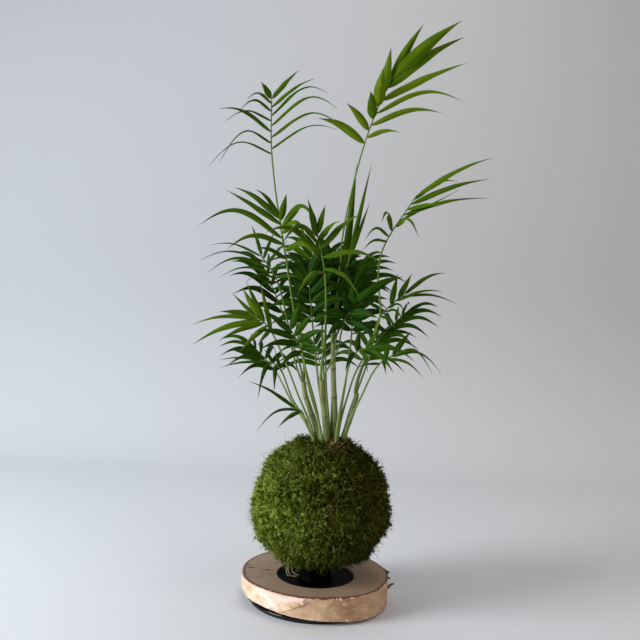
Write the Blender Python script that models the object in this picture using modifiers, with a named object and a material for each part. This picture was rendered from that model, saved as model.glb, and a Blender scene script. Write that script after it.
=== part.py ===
"""A kokedama on a birch stand: a parlour palm whose soil ball is wrapped in moss.

The script makes one named object for each piece. Units are metres and +Z is up. The origin is the
centre of the base plate's underside, and -Y is the front.
"""

import math

import bmesh
import bpy
from mathutils import Vector
from mathutils.bvhtree import BVHTree

MM = 0.001
GAP = 0.3 * MM  # left between faces that touch

# Stand: a birch slice with a black base plate let into its underside and a black dish into its top.
# The slice is a little thicker on the right, so its underside slopes.
BASE_RADIUS = 68 * MM
BASE_HEIGHT = 11 * MM
SLICE_RADIUS = 72.2 * MM
SLICE_TOP = 26.3 * MM
UNDERSIDE_HEIGHT = 5.5 * MM  # of the slice's underside, at its middle
UNDERSIDE_SLOPE = -0.066
DISH_RADIUS = 38.2 * MM
DISH_DEPTH = 8 * MM
DISH_SUNK = 1.5 * MM  # its rim below the slice's top
SEAT_RADIUS = 16 * MM
SEAT_TOP = 37.8 * MM
AXIS_Y = -9 * MM  # the dish and the ball stand in front of the slice's middle

# Ball: a soil core in a moss cover, flattened where it rests.
BALL_X = 3 * MM
BALL_RADIUS = 67.5 * MM
BALL_HALF_HEIGHT = 62.5 * MM
FLAT_RADIUS = 20 * MM
MOSS_THICKNESS = 10 * MM
MOUTH_RADIUS = 27 * MM  # the opening in the moss that the stems come out of
CROWN_HEIGHT = 55 * MM  # of the soil's flat top above the ball's centre
ROOT_MAT_RADIUS = 23.9 * MM
ROOT_MAT_THICKNESS = 4 * MM

# Heights that follow from them.
FLAT_DROP = BALL_HALF_HEIGHT * math.sqrt(1 - (FLAT_RADIUS / BALL_RADIUS) ** 2)
BALL_Z = SEAT_TOP + GAP + FLAT_DROP
CROWN_Z = BALL_Z + CROWN_HEIGHT
STEM_FOOT_Z = CROWN_Z + GAP
CROWN_X = BALL_X + 4 * MM  # the clump of stems stands a little to one side of the ball's axis

# Palm: sizes that all its fronds share.
PETIOLE_HALF = 1.0 * MM
RACHIS_TIP_HALF = 0.6 * MM
LEAFLET_FOOT = 1.8 * MM  # how much of the rachis a leaflet grows from
BLADE_THICKNESS = 0.8 * MM
BLADE_TIP_WIDTH = 0.9 * MM
CLEARANCE = 0.5 * MM  # kept round every leaflet
PATH_STEPS = 12  # of a leaflet's centre line
UP = Vector((0, 0, 1))
CANE_RADIUS = 3.2 * MM
CANE_PETIOLE_RING = 1.9 * MM  # how far from a cane's axis its petioles stand

# Each cane, in millimetres: where its foot stands on the crown, from the crown's centre, and where its
# top is, from the ground below the ball.
CANES = {
    "cane_front": ((-1, -9), (-2, -17, 221)),
    "cane_back": ((7, 2), (8, 4, 257)),
    "cane_left": ((-9, 3), (-20, 7, 217)),
    "cane_right": ((14, -2), (33, -3, 209)),
}

# Each frond, in millimetres from the ground below the ball. Its petiole starts at its foot, which is a
# point on the crown from the crown's centre or one of the three places on a cane's top, and its line
# runs on through the points given: the last two are its lowest leaflets and its rachis's end. It faces
# the way given, in degrees from +X, and its leaflets' upper faces turn from there towards the sky by
# the share given. A leaflet that finds no free way past the others is left out.
# A leaflet is (how far up the rachis it grows, the point its tip reaches, its width, its arch above
# a straight line, as a share of its length).
FRONDS = {
    "frond_tall_left": dict(
        foot=("cane_left", 2), line=((-33, 11, 295), (-50, 14, 369), (-63, 16, 446), (-66, 18, 507)),
        facing=-90, upturn=0.4,
        leaflets=(
            (0.0, (-125, 2, 429), 3, 0.28), (0.08, (2, 0, 471), 4, 0.17), (0.18, (-114, 0, 433), 4, 0.38),
            (0.28, (6, 4, 476), 5, 0.25), (0.38, (-118, 8, 489), 5, 0.15), (0.49, (2, 8, 494), 4, 0.28),
            (0.58, (-110, 10, 475), 4, 0.22), (0.68, (-9, 12, 511), 4, 0.25), (0.76, (-95, 8, 487), 4, 0.3),
            (0.84, (-22, 14, 526), 5, 0.08), (0.91, (-91, 12, 500), 4, 0.35),
            (1.0, (-77, 10, 519), 8, 0.05), (1.0, (-39, 12, 533), 7, 0.04),
        ),
    ),
    "frond_tall_right": dict(
        foot=("cane_back", 0), line=((11, 4, 325), (14, 4, 377), (30, 2, 457), (54, -2, 527)),
        facing=-95, upturn=0.1,
        leaflets=(
            (0.0, (-17, -8, 479), 9, 0.1), (0.09, (65, -6, 469), 5, 0.12), (0.19, (10, -10, 495), 8, 0.06),
            (0.27, (105, -10, 489), 6, 0.12), (0.36, (33, -22, 504), 11, 0.06), (0.45, (124, -12, 501), 5, 0.17),
            (0.55, (44, -26, 526), 13, 0.04), (0.65, (126, -14, 538), 9, 0.03), (0.75, (52, -10, 552), 11, 0.0),
            (0.84, (124, -10, 565), 12, 0.06), (0.94, (119, -14, 576), 14, 0.05), (1.0, (84, -4, 579), 9, 0.03),
        ),
    ),
    "frond_spear": dict(
        foot=("cane_back", 2), line=((11, 9, 295), (16, 6, 325), (21, 0, 347)),
        facing=-70, upturn=0.0,
        leaflets=(
            (0.0, (24, 10, 441), 8, 0.0), (0.5, (38, -8, 438), 5, 0.0), (1.0, (38, -6, 399), 5, 0.0),
            (1.0, (30, 2, 397), 4, 0.0),
        ),
    ),
    "frond_right": dict(
        foot=("cane_right", 0),
        line=((45, -4, 257), (53, -6, 289), (49, -8, 327), (55, -10, 359), (84, -14, 408)),
        facing=-85, upturn=0.35,
        leaflets=(
            (0.0, (32, -22, 349), 4, 0.2), (0.12, (33, -26, 358), 4, 0.35), (0.25, (48, -34, 375), 7, 0.5),
            (0.36, (84, -32, 363), 7, 0.4), (0.48, (124, -16, 413), 3, 0.0), (0.6, (149, -26, 404), 6, 0.06),
            (0.71, (106, -34, 395), 6, 0.05), (0.82, (152, -20, 424), 7, 0.05), (0.92, (124, -6, 423), 5, 0.15),
            (1.0, (152, -12, 443), 8, 0.06), (1.0, (142, 4, 450), 4, 0.05),
        ),
    ),
    "frond_left_fine": dict(
        foot=("cane_left", 0), line=((-34, -1, 259), (-50, 0, 315), (-69, 3, 343)),
        facing=-100, upturn=0.4,
        leaflets=(
            (0.0, (-70, -14, 307), 4, 0.15), (0.12, (-82, -12, 313), 4, 0.2), (0.12, (-26, -14, 319), 6, 0.1),
            (0.28, (-107, -10, 318), 4, 0.15), (0.4, (-28, -12, 337), 6, 0.1), (0.5, (-120, -6, 322), 5, 0.2),
            (0.64, (-42, -6, 357), 6, 0.05), (0.75, (-125, -4, 334), 4, 0.15), (0.88, (-56, 4, 367), 5, 0.05),
            (1.0, (-119, 0, 350), 4, 0.12), (1.0, (-80, 8, 373), 5, 0.05),
        ),
    ),
    "frond_upper_left": dict(
        foot=(-8, -6), line=((-26, -14, 257), (-42, -18, 337), (-50, -24, 380)),
        facing=-80, upturn=0.3,
        leaflets=(
            (0.0, (-70, -40, 345), 7, 0.1), (0.14, (-10, -34, 337), 8, 0.3), (0.28, (-98, -36, 343), 7, 0.2),
            (0.42, (-127, -30, 365), 7, 0.25), (0.56, (-22, -56, 353), 9, 0.3), (0.7, (-14, -40, 370), 9, 0.5),
            (0.8, (-102, -28, 401), 8, 0.02), (0.9, (-43, -44, 397), 8, 0.04), (0.95, (-95, -22, 405), 8, 0.08),
            (1.0, (-76, -20, 401), 6, 0.05), (1.0, (-62, -26, 398), 5, 0.02),
        ),
    ),
    "frond_front_centre": dict(
        foot=("cane_front", 0), line=((-1, -24, 277), (-4, -30, 325), (-13, -38, 363)),
        facing=-85, upturn=0.45,
        leaflets=(
            (0.0, (-28, -74, 301), 9, 0.15), (0.08, (30, -70, 299), 9, 0.15), (0.24, (-76, -54, 350), 8, 0.25),
            (0.36, (48, -50, 336), 9, 0.14), (0.48, (-68, -46, 361), 9, 0.3), (0.6, (28, -56, 379), 10, 0.1),
            (0.72, (-44, -74, 345), 9, 0.3), (0.82, (8, -62, 371), 8, 0.1), (0.92, (-24, -40, 391), 10, 0.02),
            (1.0, (-33, -52, 391), 9, 0.02), (1.0, (-6, -52, 387), 7, 0.05),
        ),
    ),
    "frond_left_bright": dict(
        foot=(-14, -7), line=((-27, -16, 211), (-53, -26, 267), (-74, -32, 284)),
        facing=-75, upturn=0.2,
        leaflets=(
            (0.0, (-64, -44, 253), 6, 0.05), (0.0, (-66, -22, 313), 8, 0.02), (0.16, (-80, -46, 247), 8, 0.05),
            (0.32, (-102, -38, 256), 8, 0.05), (0.32, (-78, -34, 313), 10, 0.0), (0.48, (-126, -34, 251), 10, 0.08),
            (0.48, (-84, -26, 319), 12, 0.0), (0.64, (-130, -24, 270), 6, 0.08), (0.8, (-110, -36, 278), 7, 0.03),
            (0.8, (-92, -28, 302), 6, 0.0), (1.0, (-101, -44, 284), 8, 0.02), (1.0, (-107, -26, 293), 5, 0.04),
        ),
    ),
    "frond_left_low": dict(
        foot=(-13, 1), line=((-31, -3, 201), (-45, -5, 231), (-66, -8, 239)),
        facing=-95, upturn=0.3,
        leaflets=(
            (0.0, (-49, -10, 247), 5, 0.05), (0.16, (-48, -22, 208), 7, 0.12), (0.34, (-60, -12, 249), 5, 0.04),
            (0.5, (-64, -18, 200), 7, 0.2), (0.7, (-103, -14, 229), 4, 0.05), (0.88, (-92, -16, 247), 8, 0.04),
            (1.0, (-104, -6, 236), 4, 0.06), (1.0, (-86, 4, 253), 5, 0.04),
        ),
    ),
    "frond_lowest_left": dict(
        foot=(-12, -13), line=((-15, -16, 177), (-21, -19, 191), (-32, -22, 194)),
        facing=-90, upturn=0.4,
        leaflets=(
            (0.0, (-42, -36, 176), 7, 0.08), (0.3, (-62, -36, 172), 4, 0.2), (0.6, (-80, -32, 178), 4, 0.12),
            (0.6, (-73, -18, 217), 7, 0.06), (1.0, (-82, -24, 186), 4, 0.08),
        ),
    ),
    "frond_right_mid": dict(
        foot=("cane_right", 2), line=((46, 4, 257), (54, 6, 286), (78, 8, 311)),
        facing=-85, upturn=0.4,
        leaflets=(
            (0.0, (70, -14, 269), 6, 0.2), (0.2, (78, -12, 276), 4, 0.3), (0.2, (30, -2, 300), 6, 0.08),
            (0.38, (79, -8, 287), 4, 0.35), (0.5, (69, -2, 330), 8, 0.0), (0.7, (114, -10, 313), 5, 0.1),
            (0.8, (84, 4, 331), 8, 0.0), (0.9, (129, 0, 302), 4, 0.1), (1.0, (119, 8, 333), 6, 0.12),
        ),
    ),
    "frond_right_low": dict(
        foot=(14, -7), line=((40, -12, 213), (53, -16, 239), (69, -20, 251)),
        facing=-85, upturn=0.35,
        leaflets=(
            (0.0, (30, -34, 236), 4, 0.05), (0.2, (58, -38, 231), 4, 0.1), (0.4, (61, -28, 265), 7, 0.02),
            (0.5, (94, -36, 229), 4, 0.15), (0.75, (112, -32, 233), 4, 0.25), (0.85, (82, -24, 273), 8, 0.02),
            (1.0, (116, -22, 224), 4, 0.22), (1.0, (88, -6, 247), 5, 0.1),
        ),
    ),
    "frond_dark_centre": dict(
        foot=("cane_front", 1), line=((11, -24, 249), (16, -32, 277), (26, -40, 297)),
        facing=-75, upturn=0.3,
        leaflets=(
            (0.0, (0, -54, 263), 7, 0.1), (0.14, (44, -62, 267), 8, 0.1), (0.3, (-6, -50, 285), 8, 0.08),
            (0.44, (46, -64, 284), 9, 0.08), (0.6, (14, -58, 305), 9, 0.02), (0.74, (46, -58, 305), 8, 0.04),
            (0.88, (22, -48, 315), 9, 0.0), (1.0, (70, -40, 324), 9, 0.1), (1.0, (34, -60, 313), 7, 0.02),
        ),
    ),
    "frond_front_right": dict(
        foot=(7, -13), line=((20, -32, 221), (27, -42, 249), (42, -50, 257)),
        facing=-75, upturn=0.3,
        leaflets=(
            (0.0, (18, -72, 235), 6, 0.08), (0.2, (30, -54, 273), 7, 0.02), (0.35, (38, -80, 235), 6, 0.15),
            (0.6, (62, -70, 235), 8, 0.15), (0.75, (50, -58, 275), 6, 0.02), (1.0, (72, -62, 253), 8, 0.1),
            (1.0, (66, -50, 265), 6, 0.03),
        ),
    ),
    "frond_front_left": dict(
        foot=(-6, -17), line=((-15, -32, 217), (-22, -40, 249), (-34, -48, 271)),
        facing=-100, upturn=0.35,
        leaflets=(
            (0.0, (-42, -66, 233), 7, 0.12), (0.1, (4, -64, 247), 7, 0.1), (0.3, (-60, -68, 251), 8, 0.1),
            (0.4, (0, -60, 271), 8, 0.08), (0.6, (-66, -62, 267), 8, 0.08), (0.7, (-12, -60, 287), 8, 0.02),
            (0.85, (-60, -56, 287), 8, 0.04), (1.0, (-26, -62, 295), 8, 0.0), (1.0, (-46, -64, 295), 7, 0.0),
        ),
    ),
    "frond_mid_left": dict(
        foot=(-3, -1), line=((-6, 0, 221), (-14, 4, 277), (-20, 2, 325)), facing=-95, upturn=0.3,
        pairs=6, length=40, width=9, spread=(78, 30), droop=0.6,
    ),
    "frond_mid_centre": dict(
        foot=(1, 5), line=((2, 12, 221), (0, 14, 281), (4, 10, 337)), facing=-80, upturn=0.3,
        pairs=6, length=42, width=9, spread=(78, 30), droop=0.6,
    ),
    "frond_mid_right": dict(
        foot=(8, -6), line=((22, 1, 221), (26, 6, 270), (24, 4, 316)), facing=-85, upturn=0.3,
        pairs=6, length=38, width=8, spread=(78, 30), droop=0.6,
    ),
    "frond_back_tall": dict(
        foot=(-3, 12), line=((-3, 22, 255), (-6, 30, 307), (-16, 42, 347)), facing=95, upturn=0.4,
        pairs=6, length=52, width=8, spread=(80, 30), droop=0.7,
    ),
    "frond_back_left": dict(
        foot=(-11, 9), line=((-30, 24, 235), (-46, 38, 285), (-66, 56, 327)), facing=140, upturn=0.4,
        pairs=5, length=54, width=8, spread=(80, 30), droop=0.7,
    ),
    "frond_back_right": dict(
        foot=("cane_back", 1), line=((18, 20, 283), (22, 34, 309), (30, 54, 335)), facing=60, upturn=0.4,
        pairs=6, length=48, width=8, spread=(80, 30), droop=0.7,
    ),
    "frond_back_left_low": dict(
        foot=(-15, 5), line=((-34, 24, 197), (-52, 40, 225), (-76, 60, 247)), facing=140, upturn=0.4,
        pairs=5, length=46, width=7, spread=(80, 30), droop=0.8,
    ),
    "frond_back_right_low": dict(
        foot=(9, 12), line=((28, 30, 211), (40, 46, 239), (58, 66, 265)), facing=55, upturn=0.4,
        pairs=5, length=46, width=7, spread=(80, 30), droop=0.8,
    ),
    "frond_back_low": dict(
        foot=(2, 15), line=((0, 34, 201), (-4, 52, 231), (-12, 82, 253)), facing=100, upturn=0.4,
        pairs=5, length=44, width=7, spread=(80, 30), droop=0.8,
    ),
    "frond_back_mid": dict(
        foot=(3, 9), line=((10, 30, 257), (12, 44, 299), (16, 70, 337)), facing=85, upturn=0.4,
        pairs=5, length=50, width=8, spread=(80, 30), droop=0.7,
    ),
    "frond_right_back": dict(
        foot=(15, 5), line=((42, 20, 231), (56, 30, 263), (82, 46, 289)), facing=35, upturn=0.4,
        pairs=5, length=46, width=7, spread=(80, 30), droop=0.8,
    ),
}

# What a leaflet tries, in turn, where another is in its way: how far its tip moves the way the frond
# faces, in millimetres, a share of its length, and more or less arch.
WAYS_ROUND = [
    (move, share, arch)
    for share in (1, 0.88, 0.76, 0.62)
    for arch in (0, 0.08, -0.08)
    for move in (0, 8, -8, 16, -16, 26, -26)
]


def material(name, colour, roughness, metallic=0.0):
    made = bpy.data.materials.new(name)
    made.use_nodes = True
    surface = made.node_tree.nodes["Principled BSDF"]
    surface.inputs["Base Color"].default_value = (*colour, 1)
    surface.inputs["Roughness"].default_value = roughness
    surface.inputs["Metallic"].default_value = metallic
    return made


def finished(obj, collection, finish):
    """Moves obj to the collection and gives it its material."""
    for other in list(obj.users_collection):
        other.objects.unlink(obj)
    collection.objects.link(obj)
    obj.data.materials.clear()
    obj.data.materials.append(finish)
    return obj


def mesh_object(name, bm):
    mesh = bpy.data.meshes.new(name)
    bm.to_mesh(mesh)
    bm.free()
    obj = bpy.data.objects.new(name, mesh)
    bpy.context.scene.collection.objects.link(obj)
    return obj


def turned(name, profile, steps):
    """The closed solid that a profile of (radius, height), from its top down its outer side, turns into."""
    bm = bmesh.new()
    points = [bm.verts.new((radius, 0, height)) for radius, height in profile]
    for here, there in zip(points, points[1:]):
        bm.edges.new((here, there))
    if profile[-1][0] > 0:
        bm.edges.new((points[-1], points[0]))
    obj = mesh_object(name, bm)
    screw = obj.modifiers.new("turn", "SCREW")
    screw.steps = screw.render_steps = steps
    screw.use_merge_vertices = True
    screw.merge_threshold = 0.0001
    screw.use_smooth_shade = True
    return obj


def spheroid(radius, half_height, start, end, count):
    """(radius, height) along a spheroid's side, between two angles from its top, in degrees."""
    angles = [math.radians(start + (end - start) * i / (count - 1)) for i in range(count)]
    return [(radius * math.sin(a), half_height * math.cos(a)) for a in angles]


def angle_at(radius, across):
    """The angle from a spheroid's top, in degrees, at which it is that far from its axis."""
    return math.degrees(math.asin(across / radius))


# ---- Stand ----


def build_base_plate():
    """A plate with a beaded rim, let into the slice's underside."""
    bead = 1.5 * MM
    profile = [
        (0, BASE_HEIGHT),
        (BASE_RADIUS - 4 * MM, BASE_HEIGHT),
        (BASE_RADIUS - 1.6 * MM, BASE_HEIGHT - bead / 2),
        (BASE_RADIUS - 1.0 * MM, BASE_HEIGHT - 2 * bead),
        (BASE_RADIUS, BASE_HEIGHT - 2.6 * bead),
        (BASE_RADIUS, 2 * MM),
        (BASE_RADIUS - 2 * MM, 0),
        (0, 0),
    ]
    return turned("base_plate", profile, 56)


def slice_radius(angle):
    """The birch slice's uneven outline."""
    waves = 0.012 * math.cos(2 * angle + 0.6) + 0.009 * math.cos(3 * angle + 2.1) + 0.005 * math.cos(7 * angle)
    return SLICE_RADIUS * (1 + waves)


def cutter(name, radius, low, high, y, cutters):
    """An upright cylinder that a Boolean cuts away, hidden from the render."""
    bpy.ops.mesh.primitive_cylinder_add(
        vertices=56, radius=radius, depth=high - low, location=(0, y, (high + low) / 2),
    )
    obj = bpy.context.object
    obj.name = name
    obj.hide_render = True
    obj.display_type = "WIRE"
    for other in list(obj.users_collection):
        other.objects.unlink(obj)
    cutters.objects.link(obj)
    return obj


def build_birch_slice(cutters):
    """A slice across a birch trunk, in its bark, with round pockets for the dish and the base plate."""
    bpy.ops.mesh.primitive_cylinder_add(vertices=72, radius=SLICE_RADIUS, depth=1)
    piece = bpy.context.object
    piece.name = "birch_slice"
    for vertex in piece.data.vertices:
        share = slice_radius(math.atan2(vertex.co.y, vertex.co.x)) / SLICE_RADIUS
        vertex.co.x *= share
        vertex.co.y *= share
        underside = UNDERSIDE_HEIGHT + UNDERSIDE_SLOPE * vertex.co.x
        vertex.co.z = SLICE_TOP if vertex.co.z > 0 else underside
    pockets = (
        cutter("dish_pocket", DISH_RADIUS + GAP, SLICE_TOP - DISH_DEPTH - GAP, 2 * SLICE_TOP, AXIS_Y, cutters),
        cutter("base_pocket", BASE_RADIUS + GAP, -SLICE_TOP, BASE_HEIGHT + GAP, 0, cutters),
    )
    for pocket in pockets:
        cut = piece.modifiers.new(pocket.name, "BOOLEAN")
        cut.object = pocket
        cut.operation = "DIFFERENCE"
    return piece


def build_drip_dish():
    """A dish let into the slice, with a shallow gutter round a raised seat for the ball."""
    rim = SLICE_TOP - DISH_SUNK
    gutter = 1.2 * MM
    profile = [
        (0, SEAT_TOP),
        (SEAT_RADIUS - 1 * MM, SEAT_TOP),
        (SEAT_RADIUS, SEAT_TOP - 1 * MM),
        (SEAT_RADIUS + 1.5 * MM, rim - gutter),
        (DISH_RADIUS - 3 * MM, rim - gutter),
        (DISH_RADIUS - 1.5 * MM, rim),
        (DISH_RADIUS, rim),
        (DISH_RADIUS, SLICE_TOP - DISH_DEPTH),
        (0, SLICE_TOP - DISH_DEPTH),
    ]
    piece = turned("drip_dish", profile, 56)
    piece.location.y = AXIS_Y
    return piece


# ---- Ball ----


def build_soil_ball():
    """The soil core: a spheroid, flat below, with a neck that fills the moss's mouth."""
    radius = BALL_RADIUS - MOSS_THICKNESS - GAP
    half_height = BALL_HALF_HEIGHT - MOSS_THICKNESS - GAP
    neck = MOUTH_RADIUS - GAP
    floor = -FLAT_DROP + MOSS_THICKNESS + GAP
    side = spheroid(radius, half_height, angle_at(radius, neck), 150, 14)
    profile = [(0, CROWN_HEIGHT), (neck, CROWN_HEIGHT)]
    profile += [point for point in side if point[1] > floor + 1 * MM]
    profile += [(radius * math.sqrt(1 - (floor / half_height) ** 2), floor), (0, floor)]
    piece = turned("soil_ball", profile, 36)
    piece.location = (BALL_X, AXIS_Y, BALL_Z)
    return piece


def build_moss_cover():
    """The moss wrapped round the soil, with a mouth at the top and the flat spot it rests on below."""
    outer = spheroid(
        BALL_RADIUS, BALL_HALF_HEIGHT,
        angle_at(BALL_RADIUS, MOUTH_RADIUS), 180 - angle_at(BALL_RADIUS, FLAT_RADIUS), 18,
    )
    inner_radius = BALL_RADIUS - MOSS_THICKNESS
    inner_half = BALL_HALF_HEIGHT - MOSS_THICKNESS
    floor = -FLAT_DROP + MOSS_THICKNESS
    inner = spheroid(inner_radius, inner_half, 150, angle_at(inner_radius, MOUTH_RADIUS), 14)
    inner = [point for point in inner if point[1] > floor + 1 * MM]
    floor_edge = inner_radius * math.sqrt(1 - (floor / inner_half) ** 2)
    # The cover is turned from two open lines, which the mouth's wall joins: out, down and in below.
    profile = [*outer, (0, -FLAT_DROP), (0, floor), (floor_edge, floor), *inner]
    bm = bmesh.new()
    points = [bm.verts.new((radius, 0, height)) for radius, height in profile]
    for here, there in zip(points, points[1:] + points[:1]):
        if here.co.x > 0 or there.co.x > 0:
            bm.edges.new((here, there))
    piece = mesh_object("moss_cover", bm)
    screw = piece.modifiers.new("turn", "SCREW")
    screw.steps = screw.render_steps = 40
    screw.use_merge_vertices = True
    screw.merge_threshold = 0.0001
    screw.use_smooth_shade = True
    piece.location = (BALL_X, AXIS_Y, BALL_Z)
    return piece


def build_root_mat():
    """A ring of fibrous roots that lies on the soil, between the stems and the moss."""
    bpy.ops.mesh.primitive_torus_add(
        major_radius=ROOT_MAT_RADIUS, minor_radius=ROOT_MAT_THICKNESS / 2,
        major_segments=28, minor_segments=8,
        location=(BALL_X, AXIS_Y, CROWN_Z + GAP + ROOT_MAT_THICKNESS / 2),
    )
    piece = bpy.context.object
    piece.name = "root_mat"
    return piece


# ---- Palm ----


def on_crown(x, y):
    return Vector((CROWN_X + x * MM, AXIS_Y + y * MM, STEM_FOOT_Z))


def from_ball_foot(point):
    """A point given in millimetres from the ground below the ball."""
    return Vector(point) * MM + Vector((0, AXIS_Y, 0))


def smooth_line(knots, first_tangent):
    """A function from 0 to the last knot's number that passes smoothly through the knots."""
    tangents = [first_tangent]
    for before, after in zip(knots, knots[2:]):
        tangents.append((after - before) / 2)
    tangents.append(knots[-1] - knots[-2])

    def at(t):
        i = min(int(t), len(knots) - 2)
        u = t - i
        near, far = knots[i], knots[i + 1]
        return (
            near * (2 * u**3 - 3 * u**2 + 1)
            + tangents[i] * (u**3 - 2 * u**2 + u)
            + far * (-2 * u**3 + 3 * u**2)
            + tangents[i + 1] * (u**3 - u**2)
        )

    return at


def direction_of(line, t, last):
    step = 0.01
    return (line(min(t + step, last)) - line(max(t - step, 0))).normalized()


def side_frame(tangent, facing):
    """(side, face): the frond's right-hand side and its upper face, square to its tangent."""
    face = facing - tangent * facing.dot(tangent)
    face.normalize()
    return tangent.cross(face), face


def section(centre, across, through, half_across, half_through):
    """The four corners of a stem or blade at one point, in a ring."""
    return [
        centre + across * half_across * a + through * half_through * b
        for a, b in ((1, 1), (1, -1), (-1, -1), (-1, 1))
    ]


def build_cane(name):
    """A cane: an upright stem with flat ends, from the crown to where its fronds part."""
    foot, top = on_crown(*CANES[name][0]), from_ball_foot(CANES[name][1])
    rows = 8
    curve = bpy.data.curves.new(name, "CURVE")
    curve.dimensions = "3D"
    spline = curve.splines.new("POLY")
    spline.points.add(rows)
    for i, point in enumerate(spline.points):
        share = i / rows
        eased = share * share * (3 - 2 * share)
        place = foot.lerp(top, eased)
        place.z = foot.z + (top.z - foot.z) * share
        point.co = (*place, 1)
        point.radius = 1 - 0.12 * share
    curve.bevel_depth = CANE_RADIUS
    curve.bevel_resolution = 1
    curve.use_fill_caps = True
    obj = bpy.data.objects.new(name, curve)
    bpy.context.scene.collection.objects.link(obj)
    return obj


def foot_of(frond):
    """Where a frond's petiole starts: on the soil, or on a cane's top at one of its three places."""
    where, place = frond["foot"]
    if where not in CANES:
        return on_crown(where, place)
    angle = 2 * math.pi * place / 3 + math.radians(210)
    ring = Vector((math.cos(angle), math.sin(angle), 0)) * CANE_PETIOLE_RING
    return from_ball_foot(CANES[where][1]) + ring + UP * GAP


def frond_line(frond):
    """(line, first, last): the frond's line, and where on it its blade starts and ends."""
    knots = [foot_of(frond)] + [from_ball_foot(point) for point in frond["line"]]
    rise = UP * (knots[1] - knots[0]).length
    return smooth_line(knots, rise), len(knots) - 2, len(knots) - 1


def facing_of(frond):
    angle = math.radians(frond["facing"])
    return Vector((math.cos(angle), math.sin(angle), 0))


def stem_half(frond, t):
    """Half the stem's thickness at t on the frond's line."""
    _, _, last = frond_line(frond)
    return PETIOLE_HALF + (RACHIS_TIP_HALF - PETIOLE_HALF) * t / last


def place_on_rachis(frond, at):
    """Where on the frond's line a leaflet grows that is that far up the rachis."""
    _, first, last = frond_line(frond)
    return first + (last - first) * (0.03 + 0.94 * at)


def leaflets_of(frond):
    """The frond's leaflets as (at, tip, width, arch) in metres: those listed, or even pairs."""
    if "leaflets" in frond:
        return [(at, from_ball_foot(tip), width * MM, arch) for at, tip, width, arch in frond["leaflets"]]
    line, _, last = frond_line(frond)
    pairs, (low, high) = frond["pairs"], frond["spread"]
    made = []
    for pair in range(pairs):
        at = pair / (pairs - 1)
        t = place_on_rachis(frond, at)
        tangent = direction_of(line, t, last)
        side, _ = side_frame(tangent, facing_of(frond))
        spread = math.radians(low + (high - low) * at)
        length = frond["length"] * MM * (0.72 + 0.45 * math.sin(math.pi * (0.25 + 0.6 * at)))
        for hand in (-1, 1):
            heading = tangent * math.cos(spread) + side * hand * math.sin(spread)
            fall = UP * length * frond["droop"] * 0.35
            tip = line(t) + heading * length * (1 - 0.03 * hand) - fall
            made.append((at, tip, frond["width"] * MM, 0.1 + 0.12 * frond["droop"]))
    return made


def stem_sections(frond):
    """Rings along the stem as (ring, at or None). at marks the ring that ends a leaflet's foot."""
    line, first, last = frond_line(frond)

    def ring(t):
        tangent = UP if t == 0 else direction_of(line, t, last)
        side, face = side_frame(tangent, facing_of(frond))
        return section(line(t), side, face, stem_half(frond, t), stem_half(frond, t))

    rings = [(ring(first * i / (3 * first)), None) for i in range(3 * first)]
    foot = LEAFLET_FOOT / (line(last) - line(first)).length
    for at in sorted({leaflet[0] for leaflet in leaflets_of(frond)}):
        t = place_on_rachis(frond, at)
        rings += [(ring(t - foot / 2), None), (ring(t + foot / 2), at)]
    return rings


def blade_width(share, widest):
    """A leaflet's width: narrow at its foot, widest before the middle, and drawn out to a point."""
    swell = math.sin(math.pi * share**0.62) ** 0.8 if 0 < share < 1 else 0
    taper = (LEAFLET_FOOT - BLADE_TIP_WIDTH) * (1 - share) ** 3
    return BLADE_TIP_WIDTH + taper + (widest - BLADE_TIP_WIDTH) * swell


def leaflet_path(frond, leaflet, way=(0, 1, 0)):
    """A leaflet's centre line as (point, across, through) for each step from its foot to its tip.

    way is one of WAYS_ROUND.
    """
    at, tip, _, arch = leaflet
    move, share, more_arch = way
    line, _, last = frond_line(frond)
    t = place_on_rachis(frond, at)
    side, face = side_frame(direction_of(line, t, last), facing_of(frond))
    outward = side if (tip - line(t)).dot(side) > 0 else -side
    foot = line(t) + outward * stem_half(frond, t)
    tip = foot + (tip - foot) * share + facing_of(frond) * move * MM
    rise = UP * (tip - foot).length * (arch + more_arch if arch else 0)
    normal = face.lerp(UP, frond["upturn"]).normalized()

    def point(step):
        along = step / PATH_STEPS
        return foot.lerp(tip, along) + rise * math.sin(math.pi * along**1.15)

    path = [(foot, face.cross(outward), face)]
    for step in range(1, PATH_STEPS + 1):
        ahead = (point(min(step + 0.5, PATH_STEPS)) - point(step - 0.5)).normalized()
        through = (normal - ahead * normal.dot(ahead)).normalized()
        path.append((point(step), through.cross(ahead), through))
    return path


def leaflet_sections(leaflet, path, extra=0.0):
    """The rings of a leaflet after its foot. extra is added to its width and thickness."""
    spans = 3 if leaflet[3] >= 0.1 else 2
    rings = []
    for span in range(1, spans + 1):
        point, across, through = path[round(PATH_STEPS * span / spans)]
        wide = blade_width(span / spans, leaflet[2]) + extra
        rings.append(section(point, across, through, wide / 2, (BLADE_THICKNESS + extra) / 2))
    return rings


def tube_tree(rings):
    """A search tree of the faces between rings of four corners."""
    points = [corner for ring in rings for corner in ring]
    faces = [
        (4 * i + j, 4 * i + (j + 1) % 4, 4 * i + 4 + (j + 1) % 4, 4 * i + 4 + j)
        for i in range(len(rings) - 1)
        for j in range(4)
    ]
    faces += [(0, 1, 2, 3), tuple(range(len(points) - 4, len(points)))]
    return BVHTree.FromPolygons(points, faces)


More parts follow.
